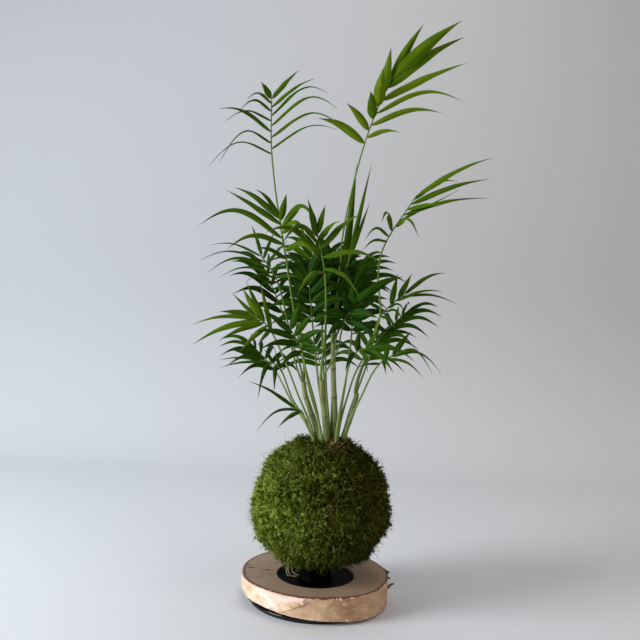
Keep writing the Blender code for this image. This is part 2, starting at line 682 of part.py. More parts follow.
def settle_leaflets():
    """{frond: [(leaflet, path)]}: each leaflet's path, moved or shortened until nothing is in its way."""
    stems = {}
    for name, frond in FRONDS.items():
        stems[name] = tube_tree([ring for ring, _ in stem_sections(frond)])
    for name in CANES:
        foot, top = on_crown(*CANES[name][0]), from_ball_foot(CANES[name][1])
        around = CANE_RADIUS + CLEARANCE
        ends = [section(place, Vector((1, 0, 0)), Vector((0, 1, 0)), around, around) for place in (foot, top)]
        stems[name] = tube_tree(ends)
    taken, settled = [], {name: [] for name in FRONDS}
    for name, frond in FRONDS.items():
        others = [tree for other, tree in stems.items() if other != name]
        for leaflet in leaflets_of(frond):
            for way in WAYS_ROUND:
                path = leaflet_path(frond, leaflet, way)
                foot = section(*path[0], LEAFLET_FOOT / 2, RACHIS_TIP_HALF)
                tree = tube_tree([foot, *leaflet_sections(leaflet, path, CLEARANCE)])
                if not any(tree.overlap(other) for other in others + taken):
                    taken.append(tree)
                    settled[name].append((leaflet, path))
                    break
    return settled


def fit_face(face, ring):
    """Moves a face's corners onto a ring's, each to the one that lies its way."""
    centre = face.calc_center_median()
    middle = sum(ring, Vector()) / 4
    turns = [ring[i:] + ring[:i] for i in range(4)] + [ring[::-1][i:] + ring[::-1][:i] for i in range(4)]
    starts = [(vertex.co - centre).normalized() for vertex in face.verts]

    def agreement(corners):
        return sum(start.dot((corner - middle).normalized()) for start, corner in zip(starts, corners))

    best = max(turns, key=agreement)
    for vertex, corner in zip(list(face.verts), best):
        vertex.co = corner


def extend(bm, face, ring):
    """Extrudes a face to a ring and returns the face at the new end."""
    new = bmesh.ops.extrude_discrete_faces(bm, faces=[face])["faces"][0]
    fit_face(new, ring)
    return new


def side_faces(end):
    """The four faces round the last span of a stem."""
    return [face for edge in end.edges for face in edge.link_faces if face != end]


def build_frond(name, settled):
    """A frond: its petiole and rachis as one stem, with its leaflets grown from the stem's sides."""
    rings = stem_sections(FRONDS[name])
    bm = bmesh.new()
    bmesh.ops.create_cube(bm, size=1)
    bottom = min(bm.faces, key=lambda face: face.calc_center_median().z)
    end = max(bm.faces, key=lambda face: face.calc_center_median().z)
    fit_face(bottom, rings[0][0])
    fit_face(end, rings[1][0])
    for ring, at in rings[2:]:
        end = extend(bm, end, ring)
        sides = side_faces(end)
        middle = sum((side.calc_center_median() for side in sides), Vector()) / 4
        grown = []
        for leaflet, path in settled:
            if leaflet[0] != at:
                continue
            outward = path[0][0] - middle
            free = [side for side in sides if side not in [face for face, _, _ in grown]]
            face = max(free, key=lambda side: (side.calc_center_median() - middle).normalized().dot(outward))
            grown.append((face, leaflet, path))
        for face, leaflet, path in grown:
            for leaf_ring in leaflet_sections(leaflet, path):
                face = extend(bm, face, leaf_ring)
    bmesh.ops.recalc_face_normals(bm, faces=bm.faces)
    if bm.calc_volume(signed=True) < 0:
        bmesh.ops.reverse_faces(bm, faces=bm.faces)
    return mesh_object(name, bm)


def main():
    for obj in list(bpy.data.objects):
        bpy.data.objects.remove(obj)
    kokedama = bpy.data.collections.new("kokedama")
    cutters = bpy.data.collections.new("cutters")
    bpy.context.scene.collection.children.link(kokedama)
    bpy.context.scene.collection.children.link(cutters)

    black = material("black_lacquer", (0.012, 0.013, 0.016), 0.35)
    birch = material("birch_wood", (0.55, 0.43, 0.30), 0.6)
    soil = material("dark_soil", (0.06, 0.04, 0.028), 0.95)
    moss = material("green_moss", (0.11, 0.17, 0.02), 0.95)
    roots = material("brown_roots", (0.26, 0.15, 0.07), 0.9)
    cane = material("pale_cane", (0.35, 0.45, 0.18), 0.5)
    leaf = material("palm_leaf", (0.06, 0.17, 0.02), 0.45)

    finished(build_base_plate(), kokedama, black)
    finished(build_birch_slice(cutters), kokedama, birch)
    finished(build_drip_dish(), kokedama, black)
    finished(build_soil_ball(), kokedama, soil)
    finished(build_moss_cover(), kokedama, moss)
    finished(build_root_mat(), kokedama, roots)
    for name in CANES:
        finished(build_cane(name), kokedama, cane)
    settled = settle_leaflets()
    for name in FRONDS:
        finished(build_frond(name, settled[name]), kokedama, leaf)


main()
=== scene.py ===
"""The looks of a kokedama: a parlour palm whose moss-wrapped soil ball rests on a birch stand.

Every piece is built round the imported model, in metres, with +Z up and -Y as the front.
"""

import math
import random

import bmesh
import bpy
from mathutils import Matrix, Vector, noise
from mathutils.bvhtree import BVHTree


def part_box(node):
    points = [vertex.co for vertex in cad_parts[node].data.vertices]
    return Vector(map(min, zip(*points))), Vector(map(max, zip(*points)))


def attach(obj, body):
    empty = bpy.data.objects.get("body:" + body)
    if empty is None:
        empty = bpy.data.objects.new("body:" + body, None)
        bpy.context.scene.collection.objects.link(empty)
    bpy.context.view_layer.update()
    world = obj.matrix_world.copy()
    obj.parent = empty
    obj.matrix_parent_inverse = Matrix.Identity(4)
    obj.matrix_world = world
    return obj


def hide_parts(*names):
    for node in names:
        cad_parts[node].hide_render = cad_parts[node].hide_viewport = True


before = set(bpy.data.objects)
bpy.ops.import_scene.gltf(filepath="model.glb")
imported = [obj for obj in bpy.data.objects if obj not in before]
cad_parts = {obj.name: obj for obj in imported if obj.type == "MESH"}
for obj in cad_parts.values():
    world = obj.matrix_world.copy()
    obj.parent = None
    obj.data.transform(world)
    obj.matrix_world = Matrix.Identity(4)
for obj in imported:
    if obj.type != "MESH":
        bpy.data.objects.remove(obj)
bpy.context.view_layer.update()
MM = 0.001


# ---- Base plate ----
# A round plate of black lacquered metal with a beaded rim. It is let into the slice's underside and
# is the only piece that touches the table.


def node(tree, kind, at=(0, 0), **settings):
    """A new node in a tree, with its settings."""
    made = tree.nodes.new(kind)
    made.location = at
    for name, value in settings.items():
        setattr(made, name, value)
    return made


def new_material(name, roughness, metallic=0.0):
    """(material, its tree, its Principled shader)."""
    made = bpy.data.materials.new(name)
    made.use_nodes = True
    shader = made.node_tree.nodes["Principled BSDF"]
    shader.inputs["Roughness"].default_value = roughness
    shader.inputs["Metallic"].default_value = metallic
    return made, made.node_tree, shader


def noise_on(
    tree, scale, detail=4.0, roughness=0.55, stretch=(1, 1, 1), coordinates="Object", centre=(0, 0, 0),
):
    """The value of a noise pattern with that many features a metre, stretched by Mapping."""
    place = node(tree, "ShaderNodeTexCoord", (-1400, 0))
    mapping = node(tree, "ShaderNodeMapping", (-1200, 0))
    mapping.inputs["Scale"].default_value = stretch
    mapping.inputs["Location"].default_value = centre
    pattern = node(tree, "ShaderNodeTexNoise", (-1000, 0))
    pattern.inputs["Scale"].default_value = scale
    pattern.inputs["Detail"].default_value = detail
    pattern.inputs["Roughness"].default_value = roughness
    tree.links.new(place.outputs[coordinates], mapping.inputs["Vector"])
    tree.links.new(mapping.outputs["Vector"], pattern.inputs["Vector"])
    return pattern.outputs["Fac"]


def ramp_of(tree, source, stops):
    """A Color Ramp from a value: stops are (place, colour)."""
    ramp = node(tree, "ShaderNodeValToRGB", (-700, 0))
    while len(ramp.color_ramp.elements) < len(stops):
        ramp.color_ramp.elements.new(0.5)
    for element, (place, colour) in zip(ramp.color_ramp.elements, stops):
        element.position = place
        element.color = (*colour, 1) if len(colour) == 3 else colour
    tree.links.new(source, ramp.inputs["Fac"])
    return ramp.outputs["Color"]


def mixed(tree, share, first, second, blend="MIX"):
    """A Mix Color of two colours or sockets by a share, which is a number or a socket."""
    mix = node(tree, "ShaderNodeMix", (-400, 0), data_type="RGBA", blend_type=blend)
    for socket, value in ((mix.inputs[0], share), (mix.inputs[6], first), (mix.inputs[7], second)):
        if isinstance(value, bpy.types.NodeSocket):
            tree.links.new(value, socket)
        elif isinstance(value, (int, float)):
            socket.default_value = value
        else:
            socket.default_value = (*value, 1)
    return mix.outputs[2]


def math_of(tree, operation, first, second=0.0, third=None, clamp=False):
    """A Math node's value. Each input is a number or a socket."""
    made = node(tree, "ShaderNodeMath", (-550, -200), operation=operation, use_clamp=clamp)
    for socket, value in zip(made.inputs, (first, second, third)):
        if isinstance(value, bpy.types.NodeSocket):
            tree.links.new(value, socket)
        elif value is not None:
            socket.default_value = value
    return made.outputs[0]


def add_bump(tree, shader, height, distance, strength=1.0):
    """Bump on a shader from a height socket, on top of any bump it has."""
    bump = node(tree, "ShaderNodeBump", (-200, -300))
    bump.inputs["Distance"].default_value = distance
    bump.inputs["Strength"].default_value = strength
    tree.links.new(height, bump.inputs["Height"])
    if shader.inputs["Normal"].is_linked:
        tree.links.new(shader.inputs["Normal"].links[0].from_socket, bump.inputs["Normal"])
    tree.links.new(bump.outputs["Normal"], shader.inputs["Normal"])


def piece_of(name, mesh, material, slot, *nodes):
    """Puts a mesh in the scene as a piece that rides on the part and replaces CAD nodes."""
    mesh.name = name
    obj = bpy.data.objects.new(name, mesh)
    bpy.context.scene.collection.objects.link(obj)
    mesh.materials.clear()
    mesh.materials.append(material)
    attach(obj, "root")
    if nodes:
        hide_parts(*nodes)
    return obj


def mesh_of(bm, smooth_angle=35, merge=True):
    """A mesh from a bmesh, with its faces outwards, smooth but for its sharp edges."""
    if merge:
        bmesh.ops.remove_doubles(bm, verts=bm.verts, dist=0.00001)
    bmesh.ops.recalc_face_normals(bm, faces=bm.faces)
    mesh = bpy.data.meshes.new("piece")
    bm.to_mesh(mesh)
    bm.free()
    mesh.shade_smooth()
    mesh.set_sharp_from_angle(angle=math.radians(smooth_angle))
    return mesh


def turned(profile, steps, centre=(0, 0)):
    """The mesh that a profile of (radius, height) turns into round an upright axis."""
    bm = bmesh.new()
    points = [bm.verts.new((centre[0] + radius, centre[1], height)) for radius, height in profile]
    edges = [bm.edges.new(pair) for pair in zip(points, points[1:])]
    bmesh.ops.spin(
        bm, geom=points + edges, cent=(*centre, 0), axis=(0, 0, 1), angle=2 * math.pi, steps=steps,
    )
    return mesh_of(bm)


def arc(centre, radius, start, end, count):
    """(radius, height) along an arc of a profile, in degrees from outwards, turning up."""
    angles = [math.radians(start + (end - start) * i / (count - 1)) for i in range(count)]
    return [(centre[0] + radius * math.cos(a), centre[1] + radius * math.sin(a)) for a in angles]


black_lacquer, tree, shader = new_material("black_lacquer", 0.34)
colour = ramp_of(
    tree, noise_on(tree, 260), ((0.35, (0.0012, 0.0014, 0.0022)), (0.75, (0.004, 0.0046, 0.0065))),
)
tree.links.new(colour, shader.inputs["Base Color"])
gloss = math_of(tree, "MULTIPLY_ADD", noise_on(tree, 120), 0.14, 0.12)
tree.links.new(gloss, shader.inputs["Roughness"])
shader.inputs["Specular IOR Level"].default_value = 0.12
add_bump(tree, shader, noise_on(tree, 1800, 2), 0.00006, 0.4)
shader.inputs["Coat Weight"].default_value = 0.35
shader.inputs["Coat Roughness"].default_value = 0.07

base_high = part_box("base_plate")[1]
base_radius, base_height = base_high.x, base_high.z
bead = 1.5 * MM
profile = [(0, base_height), (base_radius - 9 * MM, base_height)]
profile += arc((base_radius - 4.6 * MM, base_height - 1.9 * MM), 1.9 * MM, 100, 20, 9)
profile += arc((base_radius - 2.4 * MM, 6.6 * MM), bead, 100, -25, 11)
profile += arc((base_radius - bead, 3.4 * MM), bead, 96, -30, 11)
profile += arc((base_radius - 2.6 * MM, 1.2 * MM), 1.2 * MM, 20, -80, 7)
profile += [(base_radius - 4 * MM, 0), (0, 0)]
piece_of("base_plate_lacquered", turned(profile, 144), black_lacquer, "black_lacquer", "base_plate")


# ---- Birch slice ----
# One slice across a birch trunk: pale sanded end grain with faint rings, a dark line of inner bark at
# its rim, and papery bark that is torn and flaking. Round pockets hold the dish and the base plate.

slice_radius = 72.2 * MM
slice_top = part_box("birch_slice")[1].z
underside_height, underside_slope = 5.5 * MM, -0.066
bark_thickness = 1.9 * MM
tear_angle = math.radians(-98)  # where the outer paper of the bark ends, seen from above
dish_low, dish_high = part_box("drip_dish")
dish_radius = (dish_high.x - dish_low.x) / 2
axis_y = (dish_high.y + dish_low.y) / 2
fit = 0.3 * MM


def outline(angle):
    """The slice's uneven radius at an angle round it."""
    waves = 0.012 * math.cos(2 * angle + 0.6) + 0.009 * math.cos(3 * angle + 2.1)
    waves += 0.005 * math.cos(7 * angle)
    return slice_radius * (1 + waves)


def underside(x):
    return underside_height + underside_slope * x


def around(radius, angle, height, centre_y=0.0):
    return Vector((radius * math.cos(angle), centre_y + radius * math.sin(angle), height))


def grain(angle, height, scale, seed):
    """Noise that runs round the trunk without a seam, from -1 to 1."""
    return noise.noise(Vector((math.cos(angle) * scale, math.sin(angle) * scale, height * 300 + seed)))


def skin(bm, rings):
    """Faces between each ring of points and the next, all round."""
    return [
        bm.faces.new((first[i], first[(i + 1) % len(first)], second[(i + 1) % len(first)], second[i]))
        for first, second in zip(rings, rings[1:])
        for i in range(len(first))
    ]


def attribute(tree, name):
    """The value of an attribute that a piece's mesh carries."""
    return node(tree, "ShaderNodeAttribute", (-1400, 200), attribute_name=name).outputs["Fac"]


def place_on(tree):
    """The X, Y and Z of each spot on a piece."""
    parts = node(tree, "ShaderNodeSeparateXYZ", (-1200, 600))
    tree.links.new(node(tree, "ShaderNodeTexCoord", (-1400, 600)).outputs["Object"], parts.inputs[0])
    return parts.outputs


def build_slice():
    """The slice with both pockets, from the dish's pocket over the top and side to the base plate's."""
    steps = 300
    bm = bmesh.new()
    layer = bm.verts.layers.float.new("bark")
    rings = []

    def ring(place, bark):
        verts = []
        for i in range(steps):
            vert = bm.verts.new(place(2 * math.pi * i / steps))
            vert[layer] = bark
            verts.append(vert)
        rings.append(verts)

    pocket = dish_radius + fit
    floor = dish_low.z - fit
    ring(lambda a: around(2 * MM, a, floor, axis_y), 0.0)
    ring(lambda a: around(pocket, a, floor, axis_y), 0.0)
    ring(lambda a: around(pocket, a, slice_top - 0.5 * MM, axis_y), 0.0)
    ring(lambda a: around(pocket + 0.4 * MM, a, slice_top, axis_y), 0.0)

    def on_top(share, lift=0.0):
        def place(a):
            inner = around(pocket + 0.4 * MM, a, slice_top, axis_y)
            outer = around(outline(a) - bark_thickness, a, slice_top)
            spot = inner.lerp(outer, share)
            spot.z += lift + 0.12 * MM * noise.noise(spot * 90)
            return spot
        return place

    for step in range(1, 13):
        ring(on_top(step / 12), 0.0)
    ragged = lambda a: 0.5 * MM * grain(a, 0, 26, 3) + 0.3 * MM * grain(a, 0, 70, 9)
    ring(lambda a: around(outline(a) - bark_thickness * 0.85, a, slice_top + 0.1 * MM), 0.5)
    ring(lambda a: around(outline(a) - bark_thickness * 0.25, a, slice_top + 0.25 * MM + ragged(a)), 0.5)
    ring(lambda a: around(outline(a) + 0.1 * MM, a, slice_top - 0.1 * MM + ragged(a)), 1.0)
    levels = 16
    for level in range(1, levels + 1):
        share = level / levels

        def on_side(a, share=share):
            foot = underside(outline(a) * math.cos(a))
            height = slice_top - 0.4 * MM + (foot - slice_top + 0.4 * MM) * share
            relief = 0.55 * grain(a, height, 7, 0) + 0.35 * grain(a, height * 2, 22, 5)
            relief += 0.2 * grain(a, height * 3, 60, 8)
            curl = 0.9 * max(0.0, share - 0.9) * 10 * grain(a, 0, 14, 21)
            return around(outline(a) + (relief + curl) * MM - 0.2 * MM, a, height)

        ring(on_side, 1.0)
    ring(
        lambda a: around(outline(a) - bark_thickness, a, underside(outline(a) * math.cos(a)) + 0.1 * MM), 0.5
    )
    base_pocket = base_radius + fit
    for share in (0.4, 1.0):
        def below(a, share=share):
            radius = (outline(a) - bark_thickness) * (1 - share) + base_pocket * share
            return around(radius, a, underside(radius * math.cos(a)))
        ring(below, 0.0)
    ring(lambda a: around(base_pocket, a, base_height + fit), 0.0)
    ring(lambda a: around(2 * MM, a, base_height + fit), 0.0)
    skin(bm, rings)
    bm.faces.new(rings[0])
    bm.faces.new(rings[-1])
    return mesh_of(bm, 40, merge=False)


birch, tree, shader = new_material("birch", 0.62)
place = node(tree, "ShaderNodeTexCoord", (-2000, 0))
pith = node(tree, "ShaderNodeMapping", (-1800, 0))
pith.inputs["Location"].default_value = (0.011, -0.016, 0)
tree.links.new(place.outputs["Object"], pith.inputs["Vector"])
rings_of_growth = node(tree, "ShaderNodeTexWave", (-1600, 0), wave_type="RINGS", rings_direction="Z")
rings_of_growth.inputs["Scale"].default_value = 115
rings_of_growth.inputs["Distortion"].default_value = 2.6
rings_of_growth.inputs["Detail"].default_value = 3
rings_of_growth.inputs["Detail Scale"].default_value = 0.35
tree.links.new(pith.outputs["Vector"], rings_of_growth.inputs["Vector"])
wood = ramp_of(
    tree, rings_of_growth.outputs["Fac"],
    ((0.0, (0.355, 0.240, 0.152)), (0.6, (0.395, 0.268, 0.172)), (1.0, (0.41, 0.282, 0.182))),
)
blotches = noise_on(tree, 42, 5)
wood = mixed(
    tree, ramp_of(tree, blotches, ((0.42, (0, 0, 0)), (0.72, (0.75, 0.75, 0.75)))), wood,
    (0.30, 0.205, 0.120),
)
pores = noise_on(tree, 1500, 2, 0.7)
wood = mixed(
    tree, ramp_of(tree, pores, ((0.30, (0.45, 0.45, 0.45)), (0.42, (0, 0, 0)))), wood, (0.30, 0.22, 0.14),
)
# The end grain is painted darker and warmer towards the right, a painted shade where the ball and moss
# shade it, and a knot weeps into it on the left, in a few short green-brown marks.
spread = place_on(tree)
painted_right_shade = math_of(tree, "MULTIPLY_ADD", spread["X"], 22.0, -0.35, clamp=True)
wood = mixed(tree, math_of(tree, "MULTIPLY", painted_right_shade, 0.75), wood, (0.37, 0.215, 0.105))
marks_place = node(tree, "ShaderNodeMapping", (-1800, -500))
marks_place.inputs["Location"].default_value = (0.058, 0.004, -slice_top)
tree.links.new(place.outputs["Object"], marks_place.inputs["Vector"])
far = node(tree, "ShaderNodeVectorMath", (-1600, -500), operation="LENGTH")
tree.links.new(marks_place.outputs["Vector"], far.inputs[0])
near_knot = math_of(tree, "SUBTRACT", 1.0, math_of(tree, "DIVIDE", far.outputs["Value"], 0.026), clamp=True)
dashes = noise_on(tree, 1, 2, 0.5, stretch=(62, 240, 1), centre=(3.1, 0.4, 0))
dashes = ramp_of(tree, dashes, ((0.57, (0, 0, 0)), (0.62, (1, 1, 1))))
dashes = math_of(tree, "MULTIPLY", dashes, math_of(tree, "MULTIPLY", near_knot, 2.4, clamp=True))
wood = mixed(tree, dashes, wood, (0.026, 0.032, 0.004))

bark_share = attribute(tree, "bark")
streaks = noise_on(tree, 48, 5, 0.55, stretch=(1, 1, 1.7))
bark = ramp_of(
    tree, streaks, ((0.34, (0.43, 0.225, 0.100)), (0.5, (0.545, 0.325, 0.17)), (0.68, (0.69, 0.46, 0.28))),
)
fine = noise_on(tree, 120, 4, 0.65, stretch=(1, 1, 1.4), centre=(0.5, 0.2, 0.1))
bark = mixed(
    tree, ramp_of(tree, fine, ((0.55, (0, 0, 0)), (0.72, (0.55, 0.55, 0.55)))), bark, (0.86, 0.66, 0.48),
)
# The bark is paler on its left: partly its own paler outer bark, partly painted light where the key light
# falls.
pale_and_lit_side = math_of(tree, "MULTIPLY_ADD", spread["X"], -16.0, 0.2, clamp=True)
bark = mixed(tree, math_of(tree, "MULTIPLY", pale_and_lit_side, 0.9), bark, (0.80, 0.57, 0.41))
lenticels = noise_on(tree, 130, 2, 0.5, stretch=(1, 1, 9), centre=(0.3, 0.1, 0.7))
bark = mixed(
    tree, ramp_of(tree, lenticels, ((0.66, (0, 0, 0)), (0.71, (0.8, 0.8, 0.8)))), bark, (0.16, 0.085, 0.04),
)
inner_bark = ramp_of(
    tree, noise_on(tree, 300, 4), ((0.3, (0.060, 0.022, 0.010)), (0.7, (0.24, 0.105, 0.055))),
)
surface = mixed(tree, ramp_of(tree, bark_share, ((0.12, (0, 0, 0)), (0.3, (1, 1, 1)))), wood, inner_bark)
# The dark inner bark shows a little way down the side, where the outer bark has chipped at the rim.
chipped = math_of(
    tree, "MULTIPLY_ADD", noise_on(tree, 170, 4, 0.65, stretch=(1, 1, 0.3)), 0.0050, slice_top - 0.0041,
)
chipped = math_of(tree, "MULTIPLY", math_of(tree, "SUBTRACT", spread["Z"], chipped), 2500.0, clamp=True)
bark = mixed(tree, chipped, bark, inner_bark)
surface = mixed(tree, ramp_of(tree, bark_share, ((0.72, (0, 0, 0)), (0.92, (1, 1, 1)))), surface, bark)
tree.links.new(surface, shader.inputs["Base Color"])
add_bump(tree, shader, noise_on(tree, 700, 4, 0.6, stretch=(1, 1, 3)), 0.00018, 0.5)
add_bump(tree, shader, streaks, 0.0008, 0.3)
piece_of("birch_slice_turned", build_slice(), birch, "birch_wood", "birch_slice")


# The bark's outer paper: a thin pale sheet round the left of the slice, torn off at the front, and
# small curls that stand out where the bark is flaking.


def build_paper():
    """The sheet of outer paper, with a narrow ragged end where it is torn."""
    steps, levels, thickness = 190, 8, 0.22 * MM
    start, end = tear_angle, tear_angle - math.radians(150)
    bm = bmesh.new()
    sheets = []
    for side in (1, 0):
        rows = []
        for level in range(levels + 1):
            row = []
            for i in range(steps + 1):
                along = i / steps
                a = start + (end - start) * along
                torn = 0.012 * math.sin(level * 1.7) + 0.02 * noise.noise(Vector((level * 0.8, 4.0, 0)))
                a += torn * (1 - along) ** 8
                foot = underside(outline(a) * math.cos(a))
                upper = slice_top - 0.1 * MM + 0.5 * MM * grain(a, 0, 34, 3) - 0.5 * MM
                eased = min(1.0, along / 0.12)
                reach = (0.30 + 0.07 * grain(a, 0, 60, 17)) * (1 - eased) + eased
                lower = foot + 0.8 * MM + (2.2 * MM + 2.4 * MM * grain(a, 0, 9, 31)) * (0.35 + 0.65 * along)
                lower = upper + (lower - upper) * reach
                height = upper + (lower - upper) * level / levels
                lift = 0.35 + 0.35 * abs(grain(a, height, 9, 40)) + 0.7 * max(0.0, 1 - along * 22)
                radius = outline(a) + lift * MM + 0.3 * MM + side * thickness
                row.append(bm.verts.new(around(radius, a, height)))
            rows.append(row)
        sheets.append(rows)
    for rows in sheets:
        for low, high in zip(rows, rows[1:]):
            for i in range(steps):
                bm.faces.new((low[i], low[i + 1], high[i + 1], high[i]))
    outer, inner = sheets
    for level in range(levels):
        for at in (0, steps):
            bm.faces.new((outer[level][at], outer[level + 1][at], inner[level + 1][at], inner[level][at]))
    for row in (0, levels):
        for i in range(steps):
            bm.faces.new((outer[row][i], outer[row][i + 1], inner[row][i + 1], inner[row][i]))
    return mesh_of(bm, 50)


def add_flake(bm, angle, height, length, width, lift, curl, turn):
    """A curl of bark paper that starts on the side and bends away from it."""
    outward = Vector((math.cos(angle), math.sin(angle), 0))
    along = Vector((-math.sin(angle), math.cos(angle), 0))
    run = (along * math.cos(turn) + Vector((0, 0, 1)) * math.sin(turn)).normalized()
    side = run.cross(outward).normalized()
    spot = around(outline(angle) - 0.1 * MM, angle, height)
    steps, heading, rows = 7, lift, []
    for i in range(steps + 1):
        forward = run * math.cos(heading) + outward * math.sin(heading)
        normal = side.cross(forward).normalized()
        half = width / 2 * (1 - 0.6 * (i / steps) ** 2) * (1 + 0.25 * noise.noise(Vector((i, angle * 9, 0))))
        signs = ((1, 1), (1, -1), (-1, -1), (-1, 1))
        rows.append([spot + side * half * a + normal * 0.09 * MM * b for a, b in signs])
        spot = spot + forward * length / steps
        heading += curl / steps
    loops = [[bm.verts.new(corner) for corner in row] for row in rows]
    skin(bm, loops)
    bm.faces.new(loops[0])
    bm.faces.new(loops[-1])


def build_flakes():
    """Two large flakes at the front, where the outer paper is torn, and small ones all round."""
    rng = random.Random(7)
    bm = bmesh.new()
    for angle, height, length, width, lift, curl, turn in (
        (-96, -2.2, 5.5, 3.6, 0.5, 0.9, 3.6), (-100, -4.5, 5, 2.6, 0.35, 0.9, 4.1),
    ):
        a = math.radians(angle)
        add_flake(bm, a, slice_top + height * MM, length * MM, width * MM, lift, curl, turn)
    for _ in range(150):
        a = rng.uniform(-math.pi, math.pi)
        foot = underside(outline(a) * math.cos(a))
        at_rim = rng.random() < 0.6
        if at_rim:
            height = slice_top - rng.uniform(0.2, 1.4) * MM
        else:
            height = rng.uniform(foot + 1 * MM, slice_top - 2 * MM)
        length = rng.uniform(1.2, 3.4) * MM
        add_flake(
            bm, a, height, length, rng.uniform(0.5, 1.4) * MM, rng.uniform(0.15, 0.7), rng.uniform(-0.4, 1.1),
            rng.choice((0, math.pi)) + rng.uniform(-0.4, 0.4),
        )
    return mesh_of(bm, 60)


def build_curls():
    """Brown curls of inner bark that peel off at the slice's ends, mostly on its right."""
    bm = bmesh.new()
    for angle, height, length, width, lift, curl, turn in (
        (7, -1.6, 5.0, 4.0, 0.3, 0.9, 2.9), (1, -3.2, 4.5, 3.4, 0.3, 1.1, 3.5),
        (-6, -11, 9.0, 4.0, 0.5, 0.8, 0.35), (-4, -13, 5.0, 3.0, 0.3, 1.2, 0.1),
        (14, -2.4, 4.0, 3.2, 0.3, 1.0, 2.8), (-178, -3, 4.0, 2.2, 0.5, 1.0, 1.9),
        (176, -6, 4.0, 1.8, 0.4, 1.2, 4.4), (38, -3, 5, 2.4, 0.4, 1.1, 2.9), (120, -8, 6, 2.4, 0.4, 1.2, 0.3),
    ):
        add_flake(bm, math.radians(angle), slice_top + height * MM, length * MM, width * MM, lift, curl, turn)
    return mesh_of(bm, 60)


inner_bark_brown, tree, shader = new_material("inner_bark_brown", 0.75)
tree.links.new(
    ramp_of(tree, noise_on(tree, 320, 4), ((0.3, (0.06, 0.028, 0.014)), (0.7, (0.20, 0.115, 0.07)))),
    shader.inputs["Base Color"],
)
add_bump(tree, shader, noise_on(tree, 700, 3), 0.0002)
piece_of("birch_bark_curls", build_curls(), inner_bark_brown, "birch_wood")
birch_paper, tree, shader = new_material("birch_paper", 0.5)
paper_streaks = noise_on(tree, 55, 5, 0.6, stretch=(1, 1, 2.6))
paper = ramp_of(
    tree, paper_streaks, ((0.36, (0.60, 0.34, 0.15)), (0.50, (0.84, 0.60, 0.42)), (0.64, (0.93, 0.79, 0.69))),
)
paper_marks = noise_on(tree, 150, 2, 0.5, stretch=(1, 1, 10), centre=(0.9, 0.2, 0.1))
paper = mixed(
    tree, ramp_of(tree, paper_marks, ((0.66, (0, 0, 0)), (0.72, (0.7, 0.7, 0.7)))), paper, (0.36, 0.19, 0.10),
)
near_rim = math_of(
    tree, "MULTIPLY_ADD", place_on(tree)["Z"], 250.0, 1 - 250.0 * (slice_top - 1 * MM), clamp=True,
)
paper = mixed(tree, math_of(tree, "MULTIPLY", near_rim, 0.55), paper, (0.82, 0.53, 0.46))
tree.links.new(paper, shader.inputs["Base Color"])
shader.inputs["Sheen Weight"].default_value = 0.15
add_bump(tree, shader, noise_on(tree, 500, 3, 0.6, stretch=(1, 1, 4)), 0.0001, 0.5)
piece_of("birch_bark_paper", build_paper(), birch_paper, "birch_wood")
piece_of("birch_bark_flakes", build_flakes(), birch_paper, "birch_wood")


# ---- Drip dish ----
# A black glazed dish let into the slice a little below its top, with a gutter for drips and a low seat
# in the middle that carries the ball.

seat_top = dish_high.z
rim_height = slice_top - 1.5 * MM
seat_radius, seat_rounding = 14.4 * MM, 1.4 * MM
profile = [(0, seat_top), (seat_radius, seat_top)]
profile += arc((seat_radius, seat_top - seat_rounding), seat_rounding, 85, 5, 6)
profile += [
    (16.2 * MM, rim_height + 2 * MM), (17.6 * MM, rim_height - 1.0 * MM), (19.5 * MM, rim_height - 1.4 * MM),
]
profile += [(dish_radius - 8 * MM, rim_height - 1.2 * MM), (dish_radius - 4 * MM, rim_height - 0.7 * MM)]
profile += arc((dish_radius - 1.1 * MM, rim_height - 1.1 * MM), 1.1 * MM, 120, 0, 9)
profile += [(dish_radius, dish_low.z + 1 * MM), (dish_radius - 1 * MM, dish_low.z), (0, dish_low.z)]
black_glaze, tree, shader = new_material("black_glaze", 0.5)
colour = ramp_of(
    tree, noise_on(tree, 180), ((0.3, (0.0004, 0.0004, 0.0005)), (0.8, (0.0012, 0.0012, 0.0014))),
)
tree.links.new(colour, shader.inputs["Base Color"])
gloss = math_of(tree, "MULTIPLY_ADD", noise_on(tree, 90, 5), 0.3, 0.42)
tree.links.new(gloss, shader.inputs["Roughness"])
shader.inputs["Specular IOR Level"].default_value = 0.02
add_bump(tree, shader, noise_on(tree, 900, 3), 0.00008, 0.5)
piece_of("drip_dish_glazed", turned(profile, 144, (0, axis_y)), black_glaze, "black_lacquer", "drip_dish")


# ---- Soil ----
# The palms' root ball: dark potting soil pressed into a ball, flat where it stands and with a neck that
# fills the mouth of the moss. Crumbs of soil and bark lie on its top.

ball_low, ball_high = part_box("moss_cover")
ball = Vector(((ball_low.x + ball_high.x) / 2, axis_y, 0))
ball_radius = (ball_high.x - ball_low.x) / 2
ball_half_height = 62.5 * MM
mouth_radius, flat_radius = 27 * MM, 20 * MM
ball.z = ball_low.z + ball_half_height * math.sqrt(1 - (flat_radius / ball_radius) ** 2)
moss_thickness = 10 * MM
crown = Vector((ball.x + 4 * MM, axis_y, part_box("soil_ball")[1].z))


def lumps(point, *layers):
    """Noise added up from layers of (features a metre, height)."""
    return sum(noise.noise(point * scale + Vector((scale, 0, 0))) * height for scale, height in layers)


